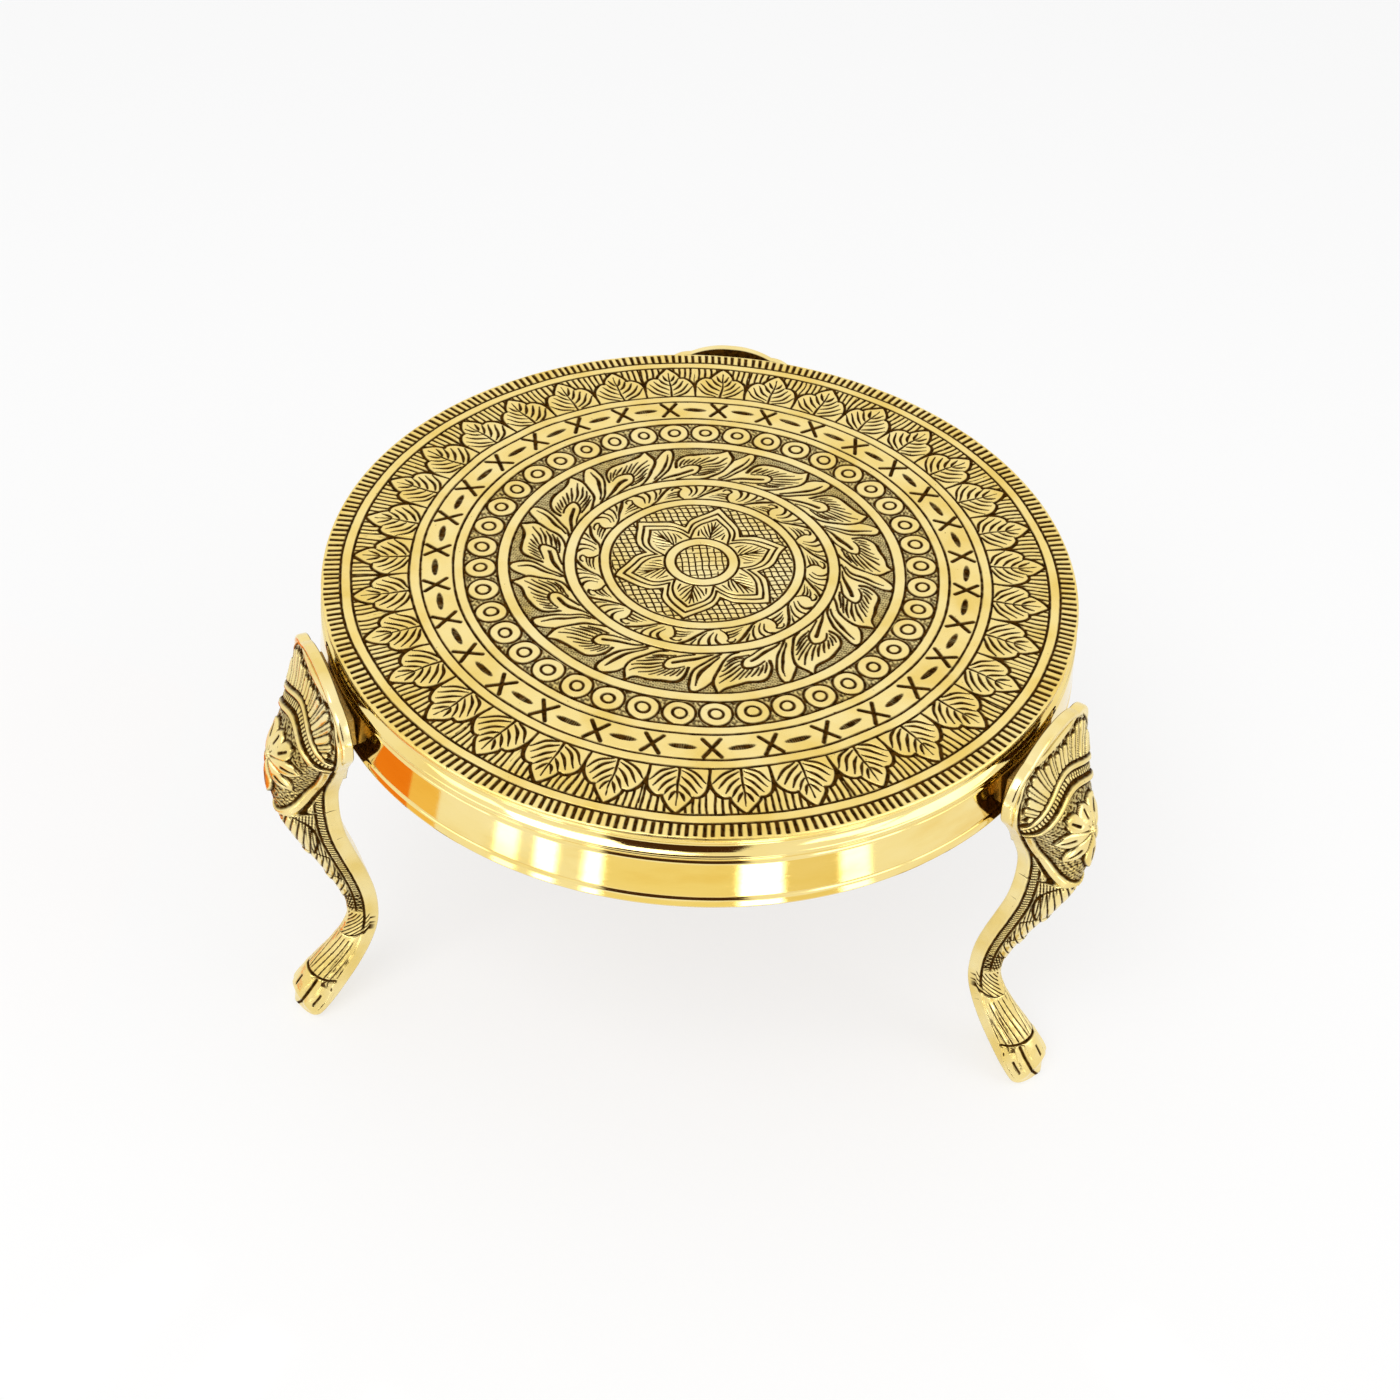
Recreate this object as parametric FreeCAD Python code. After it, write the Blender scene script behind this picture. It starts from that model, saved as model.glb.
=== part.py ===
"""Round brass offering stand: one engraved drum on three cast cabriole legs."""
import FreeCAD, Part
import math
import os

V = FreeCAD.Vector

# The origin is the centre of the top face. +Z is up, -Y faces the viewer and one leg is on +Y.

# Drum
TOP_RADIUS = 123.0
WALL_FLARE = 2.5
DRUM_HEIGHT = 27.0
TOP_THICKNESS = 4.0
WALL_THICKNESS = 4.5
LIP_HEIGHT = 2.1
LIP_ROUND = 0.8
COVE_DEPTH = 2.2
COVE_HEIGHT = 5.2
BEAD_HEIGHT = 1.2
BAND_GROOVE_WIDTH = 0.7
BAND_GROOVE_DEPTH = 0.5
FOOT_BAND_HEIGHT = 3.6
FOOT_BAND_ROUND = 1.0
INNER_FILLET = 5.0

# Turned lines on the top face, as shares of the top radius
RING_LINE_SHARES = (0.070, 0.099, 0.246, 0.274, 0.336, 0.367, 0.512, 0.544,
                    0.631, 0.659, 0.744, 0.773, 0.9235, 0.952)
RING_LINE_WIDTH = 0.7
RING_LINE_DEPTH = 0.35

# Leg casting
LEG_AZIMUTHS = (90.0, 210.0, 330.0)
LEG_NAMES = ("back", "left", "right")
LEG_HEIGHT = 157.5
LEG_STANDOFF = 4.2
HEAD_WIDTH = 51.0
HEAD_THICKNESS = 3.6
KNEE_DEPTH = 21.2
CHEEK_THICKNESS = 2.4

# The leg's spine from head to toe: how far down, how far out, how deep and how wide each section is.
# Drop and reach are shares of the leg's height, depth of the knee's depth, width of the head's width.
DROP_SHARES = (0.023, 0.047, 0.086, 0.125, 0.164, 0.203, 0.258, 0.3125, 0.375, 0.4375, 0.508,
               0.578, 0.6445, 0.703, 0.762, 0.816, 0.867, 0.9125, 0.955, 0.986, 1.0)
REACH_SHARES = (0.0, 0.0, 0.0, 0.0, 0.001, 0.003, 0.009, 0.016, 0.018, 0.012, -0.005,
                -0.0235, -0.0375, -0.043, -0.039, -0.0195, 0.013, 0.051, 0.0915, 0.1265, 0.1525)
DEPTH_SHARES = (0.20, 0.255, 0.36, 0.55, 0.755, 0.92, 1.0, 0.96, 0.845, 0.71, 0.61,
                0.55, 0.505, 0.475, 0.465, 0.485, 0.51, 0.535, 0.525, 0.435, 0.26)
WIDTH_SHARES = (0.58, 0.80, 0.92, 0.90, 0.80, 0.65, 0.475, 0.35, 0.33, 0.33, 0.30,
                0.265, 0.227, 0.203, 0.203, 0.222, 0.266, 0.314, 0.362, 0.367, 0.28)
# Crown of one section, from its side to its middle: width and depth shares
CROWN_SHARES = ((0.86, 0.50), (0.50, 0.88))

# Head plate outline, right half: width as a share of half the head's width, drop as a share of the height
ARCH_MID_SHARE = (0.33, 0.006)
CUSP_SHARE = (0.60, 0.024)
SHOULDER_TOP_SHARE = (0.86, 0.040)
SHOULDER_SHARE = (1.0, 0.086)
SHOULDER_LOW_SHARE = (0.96, 0.130)
FLANK_SHARES = ((0.80, 0.168), (0.64, 0.208), (0.46, 0.262))

# Sole
SOLE_TRIM = 1.6

# Fastening of one leg: two screws from inside the drum
SCREW_SPACING = 18.0
SCREW_RADIUS = 2.5
SCREW_LENGTH = 20.0
SCREW_HEAD_ACROSS = 8.0
SCREW_HEAD_HEIGHT = 3.5
SCREW_HEAD_BEVEL = math.radians(30.0)
WASHER_RADIUS = 5.0
WASHER_THICKNESS = 1.0
SPRING_WASHER_RADIUS = 4.4
SPRING_WASHER_THICKNESS = 1.2
SPRING_WASHER_SPLIT = 1.0
HOLE_CLEARANCE = 0.2
THREAD_CLEARANCE = 0.02
BLIND_CLEARANCE = 0.8
BOSS_SIDE_MARGIN = 5.5
BOSS_TOP_MARGIN = 3.0
PAD_SIDE_MARGIN = 5.0
PAD_BASE_MARGIN = 3.0
PAD_THICKNESS = 4.0
SEAT_GAP = 0.05
OVERRUN = 2.0

# Sizes that follow from those above
BASE_RADIUS = TOP_RADIUS + WALL_FLARE
LEG_BACK_RADIUS = TOP_RADIUS + LEG_STANDOFF
PAD_TOP = TOP_THICKNESS + INNER_FILLET
PAD_HEIGHT = DRUM_HEIGHT - PAD_TOP - PAD_BASE_MARGIN
PAD_WIDTH = SCREW_SPACING + 2 * (WASHER_RADIUS + PAD_SIDE_MARGIN)
SCREW_DROP = PAD_TOP + PAD_HEIGHT / 2
BOSS_WIDTH = SCREW_SPACING + 2 * (SCREW_RADIUS + BOSS_SIDE_MARGIN)
BOSS_HEIGHT = 2 * (SCREW_RADIUS + BOSS_TOP_MARGIN)


def save(shape, name):
    shape.exportStep(os.path.join("parts", name + ".step"))


def polygon_face(points):
    return Part.Face(Part.makePolygon(points + points[:1]))


def turned(points):
    """Solid turned about Z from (radius, z) points."""
    face = polygon_face([V(r, 0, z) for r, z in points])
    return face.revolve(V(0, 0, 0), V(0, 0, 1), 360)


def wall_radius(z):
    """Outer radius of the plain wall at height z: it flares evenly from the top to the base."""
    return TOP_RADIUS - WALL_FLARE * z / DRUM_HEIGHT


def wall_outline():
    """The drum's outer edge from the top face down: lip, cove, bead, main band and foot band."""
    lip_bottom = -LIP_HEIGHT
    cove_bottom = lip_bottom - COVE_HEIGHT
    bead_bottom = cove_bottom - BEAD_HEIGHT
    band_top = bead_bottom - BAND_GROOVE_WIDTH
    foot_top = -DRUM_HEIGHT + FOOT_BAND_HEIGHT
    band_bottom = foot_top + BAND_GROOVE_WIDTH
    cove_middle = (lip_bottom + cove_bottom) / 2
    start = Part.LineSegment(V(TOP_RADIUS - LIP_ROUND, 0, 0), V(TOP_RADIUS, 0, -LIP_ROUND)).toShape()
    lip = Part.LineSegment(V(TOP_RADIUS, 0, -LIP_ROUND), V(TOP_RADIUS, 0, lip_bottom)).toShape()
    cove_end = V(wall_radius(cove_bottom), 0, cove_bottom)
    cove = Part.Arc(V(TOP_RADIUS, 0, lip_bottom), V(TOP_RADIUS - COVE_DEPTH, 0, cove_middle),
                    cove_end).toShape()
    lower = [
        cove_end,
        V(wall_radius(bead_bottom), 0, bead_bottom),
        V(wall_radius(bead_bottom) - BAND_GROOVE_DEPTH, 0, (bead_bottom + band_top) / 2),
        V(wall_radius(band_top), 0, band_top),
        V(wall_radius(band_bottom), 0, band_bottom),
        V(wall_radius(band_bottom) - BAND_GROOVE_DEPTH, 0, (band_bottom + foot_top) / 2),
        V(wall_radius(foot_top), 0, foot_top),
        V(BASE_RADIUS, 0, -DRUM_HEIGHT + FOOT_BAND_ROUND),
        V(BASE_RADIUS - FOOT_BAND_ROUND, 0, -DRUM_HEIGHT),
    ]
    runs = [Part.LineSegment(a, b).toShape() for a, b in zip(lower, lower[1:])]
    return [start, lip, cove] + runs, lower[-1]


def drum_shell():
    """The drum's casting before its lines and holes: a flat top on a thin flared wall, open below."""
    outer, outer_end = wall_outline()
    inner_base = BASE_RADIUS - WALL_THICKNESS
    inner_top = TOP_RADIUS - WALL_THICKNESS - COVE_DEPTH
    ceiling = -TOP_THICKNESS
    corner = INNER_FILLET * (1 - math.sqrt(0.5))
    inner = [
        Part.LineSegment(outer_end, V(inner_base, 0, -DRUM_HEIGHT)).toShape(),
        Part.LineSegment(V(inner_base, 0, -DRUM_HEIGHT), V(inner_top, 0, ceiling - INNER_FILLET)).toShape(),
        Part.Arc(V(inner_top, 0, ceiling - INNER_FILLET),
                 V(inner_top - corner, 0, ceiling - corner),
                 V(inner_top - INNER_FILLET, 0, ceiling)).toShape(),
        Part.LineSegment(V(inner_top - INNER_FILLET, 0, ceiling), V(0, 0, ceiling)).toShape(),
        Part.LineSegment(V(0, 0, ceiling), V(0, 0, 0)).toShape(),
        Part.LineSegment(V(0, 0, 0), V(TOP_RADIUS - LIP_ROUND, 0, 0)).toShape(),
    ]
    wire = Part.Wire(outer + inner)
    return Part.Face(wire).revolve(V(0, 0, 0), V(0, 0, 1), 360)


def ring_line(radius):
    """Cutter for one turned line of the top face."""
    half = RING_LINE_WIDTH / 2
    return turned([(radius - half, 0), (radius, -RING_LINE_DEPTH), (radius + half, 0),
                   (radius + half, OVERRUN), (radius - half, OVERRUN)])


def inner_pad_face():
    """Radius of the flat face inside the wall that the washers bear on."""
    return TOP_RADIUS - WALL_THICKNESS - PAD_THICKNESS


def inner_pad():
    """Flat-faced block inside the wall behind one leg, on the +X side, cut to the wall's outside."""
    depth = TOP_RADIUS - inner_pad_face()
    block = Part.makeBox(depth, PAD_WIDTH, PAD_HEIGHT,
                         V(inner_pad_face(), -PAD_WIDTH / 2, -SCREW_DROP - PAD_HEIGHT / 2))
    bound = turned([(0, 0), (TOP_RADIUS - WALL_THICKNESS / 2, 0),
                    (BASE_RADIUS - WALL_THICKNESS / 2, -DRUM_HEIGHT), (0, -DRUM_HEIGHT)])
    return block.common(bound)


def screw_places():
    """Where the screws of a leg on the +X side cross the wall."""
    return [V(0, side * SCREW_SPACING / 2, -SCREW_DROP) for side in (-1, 1)]


def radial_cylinder(radius, start, end, place):
    """Cylinder along +X from one radius of the drum to another, at a screw's place."""
    return Part.makeCylinder(radius, end - start, V(start, place.y, place.z), V(1, 0, 0))


def at_azimuth(shape, azimuth):
    placed = shape.copy()
    placed.rotate(V(0, 0, 0), V(0, 0, 1), azimuth)
    return placed


def make_drum():
    drum = drum_shell()
    pads = [at_azimuth(inner_pad(), a) for a in LEG_AZIMUTHS]
    drum = drum.multiFuse(pads)
    cutters = [ring_line(share * TOP_RADIUS) for share in RING_LINE_SHARES]
    for azimuth in LEG_AZIMUTHS:
        for place in screw_places():
            hole = radial_cylinder(SCREW_RADIUS + HOLE_CLEARANCE, inner_pad_face() - OVERRUN,
                                   BASE_RADIUS + OVERRUN, place)
            cutters.append(at_azimuth(hole, azimuth))
    return drum.cut(Part.makeCompound(cutters)).removeSplitter().Solids[0]


def spine_point(index):
    return V(LEG_BACK_RADIUS + REACH_SHARES[index] * LEG_HEIGHT, 0, -DROP_SHARES[index] * LEG_HEIGHT)


def spine_normal(index):
    """Direction from the back of a section to its front, square to the spine."""
    before = spine_point(max(index - 1, 0))
    after = spine_point(min(index + 1, len(DROP_SHARES) - 1))
    run = (after - before).normalize()
    return V(-run.z, 0, run.x)


def leg_section(index):
    """One closed section of the leg: flat back, short cheeks and a crowned front."""
    origin = spine_point(index)
    out = spine_normal(index)
    half = WIDTH_SHARES[index] * HEAD_WIDTH / 2
    depth = DEPTH_SHARES[index] * KNEE_DEPTH
    cheek = min(CHEEK_THICKNESS, depth / 2)
    crown = depth - cheek

    def place(side, rise):
        return origin + V(0, side, 0) + out * rise

    right = [place(half * w, cheek + crown * d) for w, d in CROWN_SHARES]
    left = [place(-half * w, cheek + crown * d) for w, d in reversed(CROWN_SHARES)]
    points = [place(half, cheek)] + right + [place(0, depth)] + left + [place(-half, cheek)]
    front = Part.BSplineCurve()
    front.interpolate(points)
    edges = [
        Part.LineSegment(place(-half, 0), place(half, 0)).toShape(),
        Part.LineSegment(place(half, 0), place(half, cheek)).toShape(),
        front.toShape(),
        Part.LineSegment(place(-half, cheek), place(-half, 0)).toShape(),
    ]
    return Part.Wire(edges)


def head_plate():
    """Flat shield that the leg is cast with: arched top, two cusps, round shoulders and a narrow waist."""
    def place(share, side):
        return V(LEG_BACK_RADIUS, side * share[0] * HEAD_WIDTH / 2, -share[1] * LEG_HEIGHT)

    apex = V(LEG_BACK_RADIUS, 0, 0)
    edges = []
    for side in (-1, 1):
        edges.append(Part.Arc(apex, place(ARCH_MID_SHARE, side), place(CUSP_SHARE, side)).toShape())
        edges.append(Part.Arc(place(CUSP_SHARE, side), place(SHOULDER_TOP_SHARE, side),
                              place(SHOULDER_SHARE, side)).toShape())
        flank = Part.BSplineCurve()
        flank.interpolate([place(share, side)
                           for share in (SHOULDER_SHARE, SHOULDER_LOW_SHARE) + FLANK_SHARES])
        edges.append(flank.toShape())
    waist = FLANK_SHARES[-1]
    edges.append(Part.LineSegment(place(waist, -1), place(waist, 1)).toShape())
    outline = Part.Wire(Part.__sortEdges__(edges))
    return Part.Face(outline).extrude(V(HEAD_THICKNESS, 0, 0))


def seat_cutter():
    """Everything inside the wall's outer flare plus the seat gap."""
    return turned([(0, OVERRUN), (wall_radius(OVERRUN) + SEAT_GAP, OVERRUN),
                   (wall_radius(-DRUM_HEIGHT - OVERRUN) + SEAT_GAP, -DRUM_HEIGHT - OVERRUN),
                   (0, -DRUM_HEIGHT - OVERRUN)])


def back_boss():
    """Long pad behind the head that bridges the gap to the wall."""
    start = TOP_RADIUS - WALL_THICKNESS
    end = LEG_BACK_RADIUS + HEAD_THICKNESS / 2
    block = Part.makeBox(end - start, BOSS_WIDTH, BOSS_HEIGHT,
                         V(start, -BOSS_WIDTH / 2, -SCREW_DROP - BOSS_HEIGHT / 2))
    return block.cut(seat_cutter())


def screw_tip():
    """Radius that the screws reach."""
    return inner_pad_face() - WASHER_THICKNESS - SPRING_WASHER_THICKNESS + SCREW_LENGTH


def make_leg():
    shaft = Part.makeLoft([leg_section(i) for i in range(len(DROP_SHARES))], True, False)
    leg = shaft.fuse([head_plate(), back_boss()])
    below = Part.makeBox(LEG_HEIGHT, LEG_HEIGHT, LEG_HEIGHT,
                         V(LEG_BACK_RADIUS - LEG_HEIGHT / 2, -LEG_HEIGHT / 2, -2 * LEG_HEIGHT + SOLE_TRIM))
    cutters = [below]
    for place in screw_places():
        cutters.append(radial_cylinder(SCREW_RADIUS + THREAD_CLEARANCE, TOP_RADIUS,
                                       screw_tip() + BLIND_CLEARANCE, place))
    return leg.cut(cutters).Solids[0]


def make_screw(place):
    """Hex-head screw whose shank runs outward along +X into the leg."""
    head_start = inner_pad_face() - WASHER_THICKNESS - SPRING_WASHER_THICKNESS
    head_end = head_start - SCREW_HEAD_HEIGHT
    flat = SCREW_HEAD_ACROSS / 2
    corner = flat / math.cos(math.pi / 6)
    corners = [V(head_start, place.y + corner * math.cos(math.radians(a)),
                 place.z + corner * math.sin(math.radians(a))) for a in range(0, 360, 60)]
    head = polygon_face(corners).extrude(V(-SCREW_HEAD_HEIGHT, 0, 0))
    dome = Part.makeCone(flat, flat + SCREW_HEAD_HEIGHT / math.tan(SCREW_HEAD_BEVEL), SCREW_HEAD_HEIGHT,
                         V(head_end, place.y, place.z), V(1, 0, 0))
    shank = radial_cylinder(SCREW_RADIUS, head_start, screw_tip(), place)
    return head.common(dome).fuse(shank).removeSplitter().Solids[0]


def make_washer(place):
    end = inner_pad_face()
    disc = radial_cylinder(WASHER_RADIUS, end - WASHER_THICKNESS, end, place)
    return disc.cut(radial_cylinder(SCREW_RADIUS + HOLE_CLEARANCE, end - OVERRUN, end + OVERRUN, place))


def make_spring_washer(place):
    end = inner_pad_face() - WASHER_THICKNESS
    start = end - SPRING_WASHER_THICKNESS
    ring = radial_cylinder(SPRING_WASHER_RADIUS, start, end, place)
    ring = ring.cut(radial_cylinder(SCREW_RADIUS + HOLE_CLEARANCE, start - OVERRUN, end + OVERRUN, place))
    split = Part.makeBox(SPRING_WASHER_THICKNESS + 2 * OVERRUN, SPRING_WASHER_SPLIT,
                         SPRING_WASHER_RADIUS + OVERRUN,
                         V(start - OVERRUN, place.y - SPRING_WASHER_SPLIT / 2, place.z))
    return ring.cut(split)


def main():
    os.makedirs("parts", exist_ok=True)
    save(make_drum(), "top_drum")
    leg = make_leg()
    for name, azimuth in zip(LEG_NAMES, LEG_AZIMUTHS):
        save(at_azimuth(leg, azimuth), "leg_" + name)
        for number, place in enumerate(screw_places(), start=1):
            suffix = "_" + name + "_" + str(number)
            save(at_azimuth(make_screw(place), azimuth), "screw" + suffix)
            save(at_azimuth(make_washer(place), azimuth), "washer" + suffix)
            save(at_azimuth(make_spring_washer(place), azimuth), "spring_washer" + suffix)


main()
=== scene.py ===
"""Looks of the round brass offering stand, made round the CAD frame."""
import math

import bpy
import numpy as np
from mathutils import Matrix, Vector


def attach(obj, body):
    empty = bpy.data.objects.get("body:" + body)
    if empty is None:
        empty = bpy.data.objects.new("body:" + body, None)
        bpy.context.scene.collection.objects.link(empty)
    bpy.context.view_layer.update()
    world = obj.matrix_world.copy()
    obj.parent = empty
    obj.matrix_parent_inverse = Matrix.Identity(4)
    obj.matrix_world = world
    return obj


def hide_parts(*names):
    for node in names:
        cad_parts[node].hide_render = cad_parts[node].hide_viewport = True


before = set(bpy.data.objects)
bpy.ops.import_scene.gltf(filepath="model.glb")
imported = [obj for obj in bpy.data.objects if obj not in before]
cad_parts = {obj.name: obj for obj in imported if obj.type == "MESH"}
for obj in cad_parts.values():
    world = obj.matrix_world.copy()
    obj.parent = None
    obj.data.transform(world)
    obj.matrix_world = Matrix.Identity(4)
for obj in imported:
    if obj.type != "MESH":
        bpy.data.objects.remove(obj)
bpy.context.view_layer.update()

# Lengths are in millimetres in this script and become metres when a mesh is made.
MM = 0.001
SEED = 7

# Drum
TOP_RADIUS = 123.0
BASE_RADIUS = 125.5
DRUM_HEIGHT = 27.0
TOP_THICKNESS = 4.0
WALL_THICKNESS = 4.5
LIP_HEIGHT = 2.1
LIP_ROUND = 0.8
COVE_DEPTH = 2.2
COVE_HEIGHT = 5.2
BEAD_HEIGHT = 1.2
BAND_GROOVE_WIDTH = 0.7
BAND_GROOVE_DEPTH = 0.5
FOOT_BAND_HEIGHT = 3.6
FOOT_BAND_ROUND = 1.0
INNER_FILLET = 5.0
WALL_SEGMENTS = 720
PAD_SIZE = (4.0, 38.0, 15.0)
PAD_DROP = 16.5
PAD_ROUND = 0.8

# Engraving
LINE_WIDTH = 0.7
CUT_DEPTH = 0.42
SKIN_DEPTH = 1.4

# Legs
LEG_AZIMUTHS = {"back": 90.0, "left": 210.0, "right": 330.0}
LEG_HEIGHT = 157.5
LEG_BACK_RADIUS = 127.2
HEAD_WIDTH = 51.0
HEAD_THICKNESS = 3.6
KNEE_DEPTH = 21.2
CHEEK_THICKNESS = 3.3
SOLE_DROP = 155.9
LEG_STATIONS = 620
LEG_COLUMNS = 118
BACK_COLUMNS = 6
TOE_ROUND = 6.0
DROP_SHARES = (0.023, 0.047, 0.086, 0.125, 0.164, 0.203, 0.258, 0.3125, 0.375, 0.4375, 0.508,
               0.578, 0.6445, 0.703, 0.762, 0.816, 0.867, 0.9125, 0.955, 0.986, 1.0)
REACH_SHARES = (0.0, 0.0, 0.0, 0.0, 0.001, 0.003, 0.009, 0.016, 0.018, 0.012, -0.005,
                -0.0235, -0.0375, -0.043, -0.039, -0.0195, 0.013, 0.051, 0.0915, 0.1265, 0.1525)
DEPTH_SHARES = (0.20, 0.255, 0.36, 0.55, 0.755, 0.92, 1.0, 0.96, 0.845, 0.71, 0.61,
                0.55, 0.505, 0.475, 0.465, 0.485, 0.51, 0.535, 0.525, 0.435, 0.26)
WIDTH_SHARES = (0.58, 0.80, 0.92, 0.90, 0.80, 0.65, 0.475, 0.35, 0.33, 0.33, 0.30,
                0.265, 0.227, 0.203, 0.203, 0.222, 0.266, 0.314, 0.362, 0.367, 0.28)
ARCH_MID_SHARE = (0.33, 0.006)
CUSP_SHARE = (0.60, 0.024)
SHOULDER_TOP_SHARE = (0.86, 0.040)
SHOULDER_SHARE = (1.0, 0.086)
FLANK_SHARES = ((0.95, 0.130), (0.78, 0.168), (0.60, 0.208), (0.42, 0.262))

# Camera, in the photograph's frame
PHOTO_SIZE = 1400.0
FOCAL_PIXELS = 1874.66
TOP_CENTRE_PIXEL = (702.1, 561.2)
CAMERA_DISTANCE = 0.6156
CAMERA_ELEVATION = math.radians(38.99)
CAMERA_AZIMUTH = math.radians(-87.06)
CAMERA_ROLL = math.radians(-3.14)
SENSOR_WIDTH = 36.0


# Small helpers for fields of numbers

FULL_TURN = 360.0
TINY = 1e-9
FAR = 1e9
CHANCE_STEPS = (12.9898, 78.233, 43758.5453)
WAVES = 7
WAVE_SPREAD = (0.6, 1.4)
CURVE_STEPS = 5
STROKE_REACH = 2.5
STROKE_FADE = (0.6, 1.32)
LINE_FADE = (0.45, 1.35)


def smooth(low, high, value):
    """0 below low, 1 above high and a smooth rise between."""
    t = np.clip((value - low) / (high - low), 0, 1)
    return t * t * (3 - 2 * t)


def fading(low, high, value):
    """1 below low, 0 above high and a smooth fall between."""
    return 1 - smooth(low, high, value)


def within(value, rise, fall):
    """1 between two limits, each given as the places where its slope starts and ends."""
    return smooth(*rise, value) * fading(*fall, value)


def line_at(value, width):
    """A line where the value is zero: width is its half width where full and where faded out."""
    return fading(*width, np.abs(value))


def flat(r, a):
    """Place in the plane of a radius and an angle."""
    return r * np.cos(a), r * np.sin(a)


def chance(index, salt):
    """A steady pseudo-random number from 0 to 1 for each whole index."""
    step, shift, size = CHANCE_STEPS
    mixed = np.sin(np.asarray(index) * step + salt * shift) * size
    return mixed - np.floor(mixed)


def uneven(index, salt, amount):
    """A steady shift to either side for each whole index, the amount from end to end."""
    return amount * (chance(index, salt) - 0.5)


def ripple(x, y, wavelength, salt):
    """Smooth random field of about unit size whose bumps are a wavelength apart."""
    source = np.random.default_rng(SEED + salt)
    total = np.zeros_like(x)
    for _ in range(WAVES):
        angle = source.uniform(0, 2 * math.pi)
        pace = 2 * math.pi / wavelength * source.uniform(*WAVE_SPREAD)
        total += np.sin(pace * (x * math.cos(angle) + y * math.sin(angle)) + source.uniform(0, 2 * math.pi))
    return total / math.sqrt(WAVES)


def shaken(x, y, amount, wavelength, salt):
    """A place moved a little both ways, as by an unsteady hand."""
    return x + amount * ripple(x, y, wavelength, salt), y + amount * ripple(x, y, wavelength, salt + 1)


def curve_points(points, steps=CURVE_STEPS):
    """Smooth run through control points, as a finer list of points."""
    p = np.array(points, float)
    if len(p) < 3:
        return p
    ends = np.vstack([2 * p[0] - p[1], p, 2 * p[-1] - p[-2]])
    out = []
    for a, b, c, d in zip(ends, ends[1:], ends[2:], ends[3:]):
        for t in np.arange(steps) / steps:
            out.append(0.5 * (2 * b + (c - a) * t + (2 * a - 5 * b + 4 * c - d) * t ** 2
                              + (3 * b - a - 3 * c + d) * t ** 3))
    out.append(p[-1])
    return np.array(out)


def stroke(x, y, points, widths):
    """How much of a chased line covers each place: widths are its half widths from start to end."""
    run = curve_points(points)
    best = np.full(x.shape, FAR)
    pieces = len(run) - 1
    half = np.interp(np.linspace(0, 1, pieces + 1), np.linspace(0, 1, len(widths)), widths)
    low = run.min(0) - STROKE_REACH * max(widths)
    high = run.max(0) + STROKE_REACH * max(widths)
    near = (x > low[0]) & (x < high[0]) & (y > low[1]) & (y < high[1])
    px, py = x[near], y[near]
    found = best[near]
    for i in range(pieces):
        a, step = run[i], run[i + 1] - run[i]
        length = max(float(step @ step), TINY)
        t = np.clip(((px - a[0]) * step[0] + (py - a[1]) * step[1]) / length, 0, 1)
        away = np.hypot(px - a[0] - t * step[0], py - a[1] - t * step[1])
        found = np.minimum(found, away / (half[i] + (half[i + 1] - half[i]) * t))
    best[near] = found
    return fading(*STROKE_FADE, best)


def strokes(x, y, marks):
    """The deepest of several strokes, each given as its points and its widths."""
    cut = np.zeros_like(x)
    for points, widths in marks:
        cut = np.maximum(cut, stroke(x, y, points, widths))
    return cut


def lines(value, spacing, half):
    """Even lines across a field of lengths."""
    away = np.abs((value / spacing + 0.5) % 1 - 0.5) * spacing
    return fading(LINE_FADE[0] * half, LINE_FADE[1] * half, away)


def hatching(x, y, turns, spacing, half):
    """Two crossing sets of even lines, turned by degrees."""
    first, second = [lines(x * math.cos(t) + y * math.sin(t), spacing, half) for t in np.radians(turns)]
    return np.maximum(first, second)


def above(values, envelope, margin):
    """1 where a value lies over an envelope by the margin."""
    return smooth(0, margin, values - envelope)


# Meshes

def make_object(name, points, faces, material, flat_faces=(), values=None, plan=False):
    """Mesh object on the root body from points in millimetres, with its patina as a vertex attribute; on the
    head plates' backs it holds painted shade.
    """
    mesh = bpy.data.meshes.new(name)
    mesh.vertices.add(len(points))
    mesh.vertices.foreach_set("co", (np.asarray(points) * MM).astype(np.float32).ravel())
    loops = np.concatenate([np.asarray(f, dtype=np.int32).ravel() for f in faces])
    sizes = np.concatenate([np.full(len(f), len(f[0]), dtype=np.int32) for f in faces])
    mesh.loops.add(len(loops))
    mesh.loops.foreach_set("vertex_index", loops)
    mesh.polygons.add(len(sizes))
    mesh.polygons.foreach_set("loop_start", np.concatenate([[0], np.cumsum(sizes)[:-1]]).astype(np.int32))
    mesh.polygons.foreach_set("loop_total", sizes)
    hard = np.zeros(len(sizes), dtype=bool)
    hard[list(flat_faces)] = True
    mesh.update(calc_edges=True)
    mesh.polygons.foreach_set("use_smooth", ~hard)
    if values is not None:
        patina = mesh.attributes.new("patina", "FLOAT", "POINT")
        patina.data.foreach_set("value", np.asarray(values, dtype=np.float32))
    if plan:
        layer = mesh.uv_layers.new(name="OFBake")
        places = np.asarray(points)[loops][:, :2]
        low, high = places.min(0), places.max(0)
        layer.data.foreach_set("uv", ((places - low) / (high - low)).astype(np.float32).ravel())
    mesh.validate()
    mesh.materials.append(material)
    made = bpy.data.objects.new(name, mesh)
    bpy.context.scene.collection.objects.link(made)
    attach(made, "root")
    return made


def grid_faces(rows, columns, wrap):
    """Quads of a grid of points stored row by row."""
    last = columns if wrap else columns - 1
    i, j = np.meshgrid(np.arange(rows - 1), np.arange(last), indexing="ij")
    k = (j + 1) % columns
    return np.stack([i * columns + j, (i + 1) * columns + j, (i + 1) * columns + k, i * columns + k],
                    -1).reshape(-1, 4)


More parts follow.
